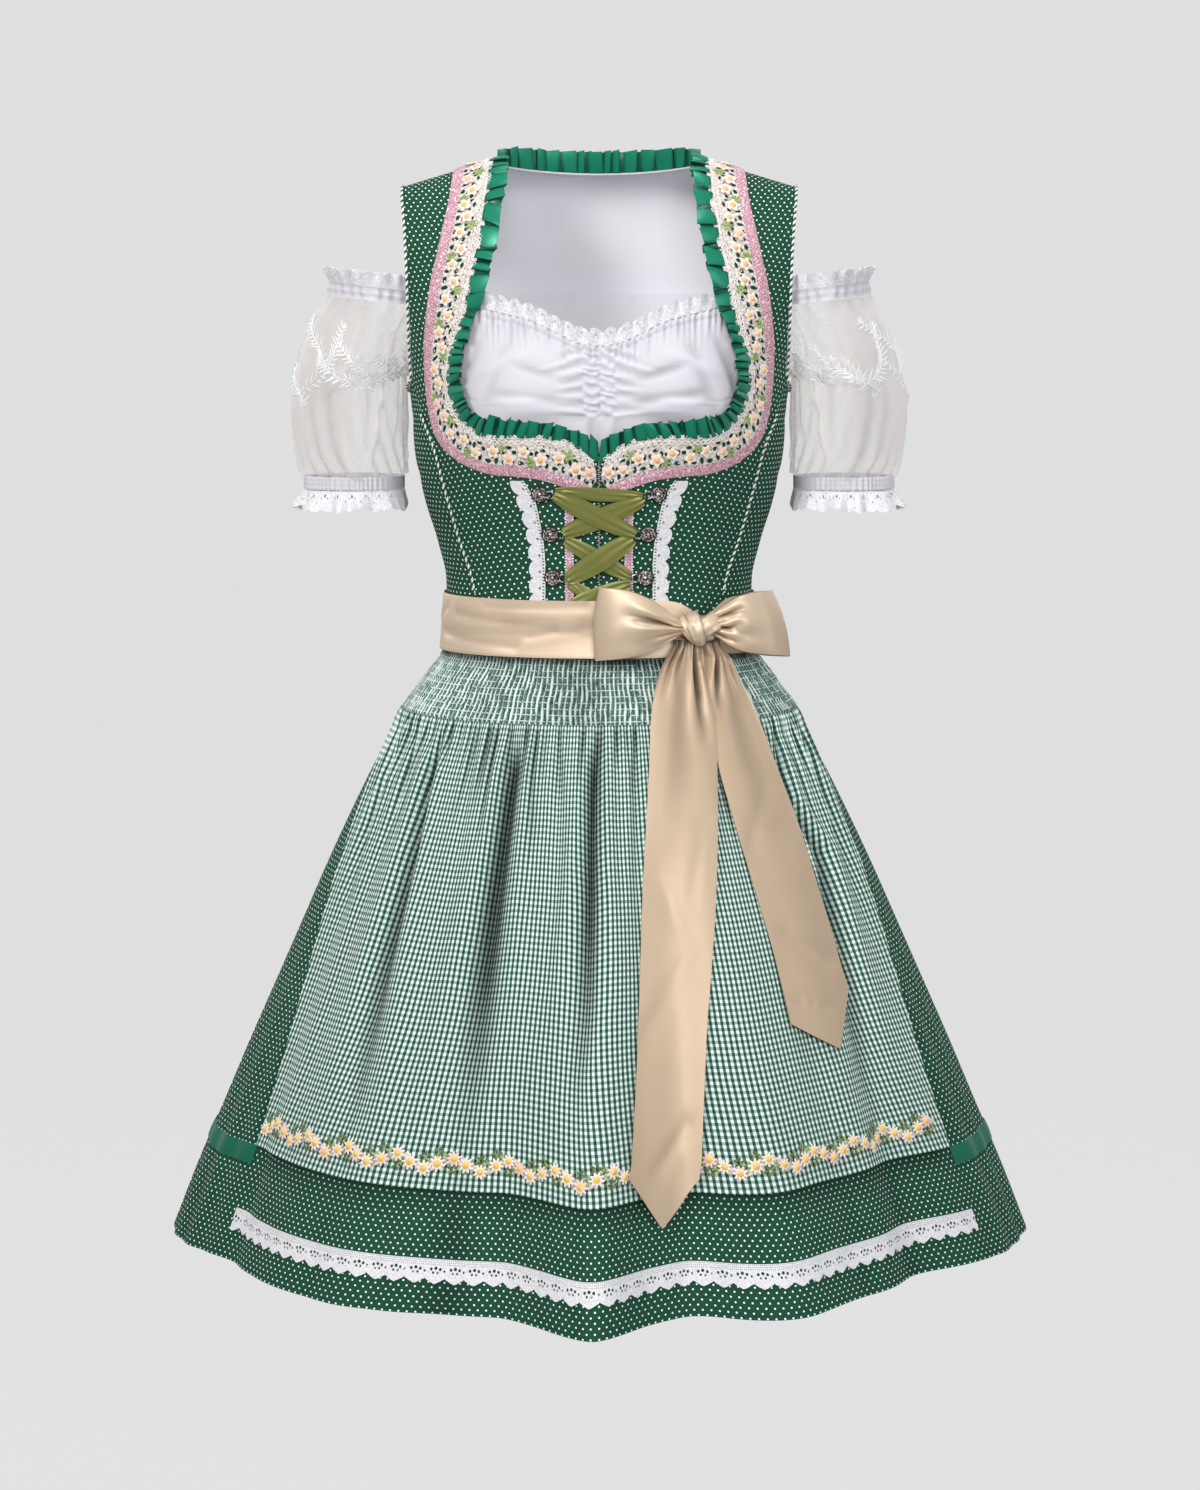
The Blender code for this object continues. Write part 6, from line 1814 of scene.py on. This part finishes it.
def bow_loops():
    for name, outline, rear, depth, drop, length, lines in LOOPS:
        k, up = mesh((0, 1, 85), (1, -1, 45))
        turn = pi * k
        share, side = np.sin(turn) ** 0.8, (1 + np.cos(turn)) / 2   # side: 1 on the front wall
        back = np.where(share < 0.5, blend(rear[0], rear[1], 2 * share),
                        blend(rear[1], rear[2], 2 * share - 1))
        gap = blend(2.6, depth, smooth(0.0, 0.55, share))
        top_x, top_z, low_x, low_z = outline.at(share, *LOOP_COLUMNS.split()[1:])
        away = -1 if outline.at(1.0, "top_x") < KNOT[0] else 1
        x = blend(low_x, top_x, (up + 1) / 2) + away * 2.6 * (1 - up ** 2) * share ** 4
        bulge = 6.4 * np.sin(pi * np.clip(share, 0, 1) ** 0.8) * (1 - up ** 2) ** 0.8 * side
        rim = 1.8 * bell(share - 0.84, 0.09) * side * (1 - 0.5 * up ** 2)
        creases = 0.0
        for a, b, reach, wide, deep in lines:
            at = blend(a, b, np.clip(share / reach, 0, 1) ** 0.8)
            fade = smooth(reach, 0.10, share) * (0.35 + 0.65 * side) * smooth(
                -0.05, 0.08, share)
            creases = creases + deep * fade * crease(up - at, wide * (0.8 + 1.5 * share),
                                                     0.35, 1.8)
        pucker = 0.7 * np.cos(up * 8.5 + 0.6) * smooth(0.26, 0.04, share)
        hang = -drop * (1 - side) * smooth(-0.2, -1.0, up) * share ** 0.6
        p = stacked(x, back - gap * side - bulge - rim + creases + pucker * side,
                    blend(low_z, top_z, (up + 1) / 2) + hang)
        shade = np.maximum(fold_depth(-(creases + pucker) * side, 4.2, 0.4),
                           0.75 * (1 - side) + 0.5 * smooth(0.14, 0.0, share) * side)
        p, shade = p[:, ::away], shade[:, ::away]
        Work().grid(p, uv_of((1 - up) * 28.0, lengths(p, 1)), 0.6, fold=shade).sheet(
            name, "satin", CHAMPAGNE, "champagne_satin", (50, length), "folded",
            "bow_knot_satin")


# Ribbons of the knot: each point of a middle line (x, y, z) and the half width there.
KNOT_BANDS = (
    ((97.0, -96.0, -379.0, 7.6), (95.0, -103.5, -380.0, 8.4), (90.0, -107.6, -383.0, 8.0),
     (85.0, -107.8, -388.0, 7.0), (80.5, -104.6, -394.0, 5.6), (78.0, -98.0, -398.5, 4.0)),
    ((74.5, -97.0, -375.0, 6.0), (75.0, -104.5, -377.5, 6.6), (77.0, -109.6, -383.0, 6.6),
     (79.5, -110.4, -390.0, 6.2), (81.5, -106.8, -396.5, 5.8), (82.5, -98.5, -401.0, 4.6)),
    ((67.0, -96.5, -378.5, 4.2), (67.5, -103.0, -381.0, 5.0), (69.5, -106.6, -386.0, 5.2),
     (73.0, -107.0, -391.5, 4.8), (76.5, -104.0, -396.5, 4.0), (79.0, -98.5, -400.0, 3.0)))


def bow_knot():
    """The knot: turns of ribbon wrapped aslant over a small gathered core."""
    sides = 64
    polar = np.linspace(0.06, pi - 0.06, 40)[:, None]
    turn = ring_turns(sides)[None]

    def bent(value):
        return np.sign(value) * np.abs(value) ** 0.72

    shape = stacked(bent(np.sin(polar)) * bent(np.cos(turn)),
                    bent(np.sin(polar)) * bent(np.sin(turn)), bent(np.cos(polar)))
    pleats = 0.7 * np.sin(shape[..., 2] * 9.0 + 1.6 * shape[..., 0])
    p = off(KNOT + shape * (KNOT_SIZE - (2.2, 1.5, 1.6)), unit(shape / KNOT_SIZE), pleats)
    # Painted shade on the core, deeper in its pleats, and on both its ends.
    core = 0.35 + fold_depth(pleats, 1.0, 0.0) * 0.6
    uv = uv_of(polar * 8, np.linspace(0, 2 * pi, sides + 1)[None] * 12)
    work = Work().grid(p[:, ::-1], uv, closed=True, fold=core[:, ::-1])
    work.cap(p[0, ::-1], p[0, ::-1].mean(0), fold=0.5)
    work.cap(p[-1, ::-1], p[-1, ::-1].mean(0), back=True, fold=0.5)
    for band, ridges in zip(KNOT_BANDS, (1.1, 0.8, 0.9)):
        path, t = np.array(band), np.linspace(0, 1, 44)
        line = np.stack([np.interp(t, np.linspace(0, 1, len(path)), path[:, k])
                         for k in range(4)], -1)
        for _ in range(6):                      # rounds off the corners of the path
            line[1:-1] = (line[:-2] + 2 * line[1:-1] + line[2:]) / 4
        middle, half = line[:, :3], line[:, 3]
        ahead = unit(np.gradient(middle, axis=0))
        out = unit(middle - KNOT - (0, 3.0, 0))
        out = unit(out - ahead * np.sum(out * ahead, -1, keepdims=True))
        s = np.linspace(-1, 1, 19)[:, None]
        crown = 1.5 * (1 - np.abs(s) ** 2.6) + 0.30 * ridges * np.sin(s * 6.5 + 0.8 + 2.0 * t)
        q = off(off(middle, np.cross(ahead, out), s * half), out, crown - 0.5)
        shade = 0.75 * smooth(0.72, 1.0, np.abs(s)) + 0.5 * smooth(
            0.85, 1.0, np.abs(2 * t - 1))[None]
        uv = uv_of(s * 22, t[None] * 34)
        if np.cross(q[1, 1] - q[0, 1], q[0, 2] - q[0, 1]) @ out[1] > 0:
            q, uv, shade = q[::-1], uv[::-1], shade[::-1]
        work.grid(q, uv, 0.6, fold=shade)
    work.build("bow_knot_satin", CHAMPAGNE, "champagne_satin", "bow_knot", sharp=70)


# Tails of the bow: outline, ends of the three corners below, where the tip is, size, pleats
# (start and end across, how far down, half width, depth) and soft dents low down (z and share
# across of each end, half width, depth).
TAILS = (
    ("bow_tail_long", Table(
        "z left right lift", (-403.5, 58, 78, 6.8), (-415, 52, 81, 6.8),
        (-430, 46.8, 84.5, 6.6), (-446, 42.8, 87.6, 6.4), (-465, 40.4, 90, 6.2),
        (-491, 39, 92, 6), (-545, 35.6, 92.8, 5.4), (-598, 32.5, 92.1, 5),
        (-651, 29.9, 89.2, 5), (-696, 27.2, 86, 6), (-734, 25, 84.6, 6),
        (-795, 20.5, 82.3, 6.6)),
     ((18.5, -802), (45, -844.5), (80.5, -810)), 0.42, (57, 480),
     ((0.66, 0.88, -496, 0.060, 8.5), (0.16, 0.20, -462, 0.05, 4.0),
      (0.38, 0.36, -446, 0.05, 3.0), (0.50, 0.42, -640, 0.20, 2.2),
      (0.94, 0.97, -440, 0.03, 3.0)),
     ((-700, 0.10, -640, 0.70, 0.16, 1.1), (-770, 0.75, -800, 0.35, 0.13, 1.4),
      (-580, 0.15, -620, 0.55, 0.15, 1.0), (-540, 0.80, -600, 0.70, 0.10, 0.8))),
    ("bow_tail_right", Table(
        "z left right lift", (-403.5, 76, 95, 5.2), (-420, 80, 106, 4.6),
        (-434, 82, 112.5, 4.4), (-452, 85, 122, 4.2), (-498, 93.9, 139.8, 4),
        (-552, 110.0, 160.3, 4), (-597, 123.7, 174.7, 4), (-640, 136.2, 188.2, 4),
        (-660, 141.2, 194, 4)),
     ((150.5, -699), (191, -724.5), (200.5, -683)), 0.72, (62, 390),
     ((0.56, 0.20, -470, 0.065, 8.0), (0.84, 0.80, -458, 0.05, 3.4),
      (0.26, 0.10, -440, 0.05, 3.0), (0.60, 0.50, -600, 0.20, 2.0)),
     ((-560, 0.15, -520, 0.65, 0.15, 1.1), (-630, 0.30, -655, 0.80, 0.15, 1.2),
      (-685, 0.20, -690, 0.65, 0.10, 1.0))))
TAIL_TOP = -398.5


def bow_tails():
    for name, table, end, tip, size, pleats, dents in TAILS:
        low = table.data[0, 0]
        t = np.linspace(0, 1, 100)[:, None] ** 1.2
        u = np.linspace(1, 0, 43)[None]
        first, point, last = (np.array(corner)[:, None, None] for corner in end)
        x_end, z_end = np.where(u <= tip, blend(first, point, u / tip),
                                blend(point, last, (u - tip) / (1 - tip)))
        z = blend(TAIL_TOP, z_end, t)
        near = np.clip((low - z) / (low - z_end), 0, 1)
        left, right, lift = table.at(np.maximum(z, low), "left", "right", "lift")
        x = blend(blend(left, right, u), x_end, near)
        crown = 0.6 + 2.4 * np.sin(pi * u) ** 0.8 * smooth(-840, -430, z) \
            + 3.4 * smooth(-470, -410, z) * np.sin(pi * u) ** 0.7
        shift = 0.0
        for a, b, reach, wide, deep in pleats:
            down = np.clip((TAIL_TOP - z) / (TAIL_TOP - reach), 0, 1)
            fade = smooth(1.0, 0.25, down) * smooth(-0.05, 0.10, down + 0.03)
            shift = shift - deep * fade * crease(u - blend(a, b, down ** 0.8),
                                                 wide * (0.55 + 1.3 * down), 0.35, 1.8)
        total = lift + 0.9 + crown + shift + 0.5 * np.sin(z / 41.0 + 2.4 * u) * smooth(
            -430, -560, z)
        for za, ua, zb, ub, wide, deep in dents:
            k = np.clip((z - za) / (zb - za), 0, 1)
            total = total - deep * bell(
                np.hypot((z - blend(za, zb, k)) / 60.0, u - blend(ua, ub, k)), wide)
        p = on_skirt(skirt_angle(x, z), z, np.maximum(total, 2.6))
        # Painted shade: deeper in the pleats, and strong at the top, in the knot's shadow.
        Work().grid(p, uv_of(u * 56, -lengths(p)), 0.6, fold=np.maximum(
            fold_depth(shift, 6.5, 0.3), 0.8 * smooth(-408, -399, z))).sheet(
                name, "satin", CHAMPAGNE_SHADED, "champagne_satin", size, "hung",
                "bow_knot_satin apron_skirt_cloth")


# ---- flowers along the apron's hem
BAND_LEVEL = -800.0


def apron_flowers():
    ground, run = flat_u(BAND_LEVEL, apron_column)
    reach = np.interp(62.5, apron_column(ground, BAND_LEVEL), run)
    a, t = mesh(np.interp(np.linspace(reach, -reach, 421), run, ground), (0, 1, 5))
    along = np.interp(a, ground, run)
    half = 2.2 + 0.5 * np.abs(np.sin(along / 1.7 * pi))
    z = BAND_LEVEL + 4.2 * np.sin(along / (2 * BLOOM_STEP) * pi) + half * (1 - 2 * t)
    work = Work().grid(on_apron(a, z, 0.7), uv_of(along, z - BAND_LEVEL), 0.5)
    bloom, local = Work(), np.random.default_rng(12)

    def spot(s, rise, lift):
        """Point, and the directions along, up and out."""
        first, level = np.interp(s, run, ground), BAND_LEVEL + rise
        here, beside, below = on_apron(np.array([first, first + 0.3, first]),
                                       np.array([level, level, level - 2.0]), lift)
        side, up = unit(beside - here), -unit(below - here)
        out = unit(np.cross(side, up))
        return here, side, up, out if out[1] < 0 else -out

    for j, s in enumerate(np.arange(-reach + 5, reach - 3, BLOOM_STEP)):
        s = s + local.uniform(-0.9, 0.9)
        high = (-4.6, 0.0, 4.6, 0.0)[j % 4]
        size = local.uniform(6.0, 7.0)
        at = spot(s, high + local.uniform(-0.6, 0.6), 1.6)
        put_flower(bloom, at, size, (5, 2) if j % 5 == 3 else (1, 2), local.uniform(0, 6.28),
                   DAISY)
        if high or j % 4 == 1:
            away = -np.sign(high) if high else 1.0
            for shift, span, kind in ((0.0, 6.6, 4), (5.4, 3.6, 6)):
                put_leaves(bloom, spot(s + shift, high + away * span * 1.25, 1.3),
                           local.uniform(4.2, 5.0), kind,
                           local.uniform(0, 6.28) + np.arange(5) * 1.26)
    flowers = bloom.build("apron_flowers_blossoms", [
        BAND_YARN, PETAL, YELLOW, PEACH, OLIVE_LEAF, PINK_PETAL, LEAF], "flower_trim")
    work.sheet("apron_flowers", "trim", BAND_YARN, "flower_trim", (660, 6), "laid",
               "apron_skirt_cloth", going=[flowers])


# ---- scene
LIGHTS = (   # place, aim, size, power and colour
    ("key", (-1.9, -2.4, 1.5), (0, 0, -0.4), (1.0, 1.0), 56, (1, 0.99, 0.97)),
    ("fill", (2.3, -2.2, 0.2), (0, 0, -0.5), (1.4, 2.0), 20, (0.97, 0.99, 1)),
    ("front", (0.3, -3.3, 0.5), (0, 0, -0.25), (0.9, 0.9), 34, (1, 1, 1)),
    ("neck", (-0.25, -2.5, 1.0), (0, 0.05, -0.12), (0.5, 0.5), 7, (1, 1, 1)),
    ("top", (0.2, -0.2, 2.3), (0, 0, -0.5), (1.4, 1.0), 26, (1, 1, 1)),
    ("rear_left", (-1.9, 1.9, 0.6), (0, 0, -0.5), (1.0, 1.6), 26, (1, 1, 1)),
    ("rear_right", (2.0, 1.8, 0.8), (0, 0, -0.5), (1.0, 1.6), 26, (1, 1, 1)))
PALE, AMBIENT = 0.742, 0.27   # the backdrop's brightness, and the light it gives


def camera():
    made = bpy.data.objects.new("camera", bpy.data.cameras.new("camera"))
    made.data.lens = 80.0
    made.data.sensor_width = 36.0
    made.data.clip_end = 60.0
    made.location = (0.0008, -2.78596, -0.12912)
    made.rotation_euler = (radians(90 - 7.5), 0, 0)
    bpy.context.scene.collection.objects.link(made)
    bpy.context.scene.camera = made


def lights():
    for name, place, aim, size, power, colour in LIGHTS:
        data = bpy.data.lights.new(name, "AREA")
        data.shape = "RECTANGLE"
        data.size, data.size_y = size
        data.energy = power
        data.color = colour
        made = bpy.data.objects.new(name, data)
        made.location = place
        made.rotation_euler = (Vector(aim) - Vector(place)).to_track_quat("-Z", "Y").to_euler()
        bpy.context.scene.collection.objects.link(made)


def studio():
    world = bpy.data.worlds.new("studio")
    bpy.context.scene.world = world
    world.use_nodes = True
    tree = world.node_tree
    seen = tree.nodes["Background"]
    seen.inputs[0].default_value = (PALE, PALE, PALE * 1.012, 1)
    lit = tree.nodes.new("ShaderNodeBackground")
    lit.inputs[0].default_value = (AMBIENT, AMBIENT, AMBIENT * 1.02, 1)
    path, mix = tree.nodes.new("ShaderNodeLightPath"), tree.nodes.new("ShaderNodeMixShader")
    for a, b in ((path.outputs["Is Camera Ray"], mix.inputs[0]),
                 (lit.outputs[0], mix.inputs[1]), (seen.outputs[0], mix.inputs[2]),
                 (mix.outputs[0], tree.nodes["World Output"].inputs[0])):
        tree.links.new(a, b)
    lights()
    data = bpy.data.meshes.new("floor")
    data.from_pydata([(24 * cos(a), 24 * sin(a), -1.62) for a in ring_turns(64)], [],
                     [list(range(64))])
    floor = bpy.data.objects.new("floor", data)
    bpy.context.scene.collection.objects.link(floor)
    shader = Shader("pale floor", (0.04, 0.04, 0.04), 0.95)
    shader.set(Emission_Color=(0.725, 0.725, 0.733), Emission_Strength=1.0,
               Specular_IOR_Level=0.0)
    data.materials.append(shader.material)
    floor.visible_diffuse = floor.visible_glossy = floor.visible_transmission = False
    floor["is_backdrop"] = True
    bpy.context.scene.view_settings.view_transform = "Standard"


for make in (camera, studio, skirt_front, skirt_back, apron_skirt, apron_smocking, hem_lace,
             side_ribbon, bodice_fronts, bodice_sides, bodice_back, neck_ruffles, back_ruffle,
             flower_laces, pink_braids, front_strips, zip_strip, pipings, hooks, lacings, blouse,
             blouse_lace, sleeves, bands, belt, bow_loops, bow_knot, bow_tails, apron_flowers):
    make()

box_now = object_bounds()


def plain(value):
    return [plain(v) for v in value] if hasattr(value, "__len__") else float(value)


{"cad": plain(CAD_BOX), "visual": plain(box_now)}
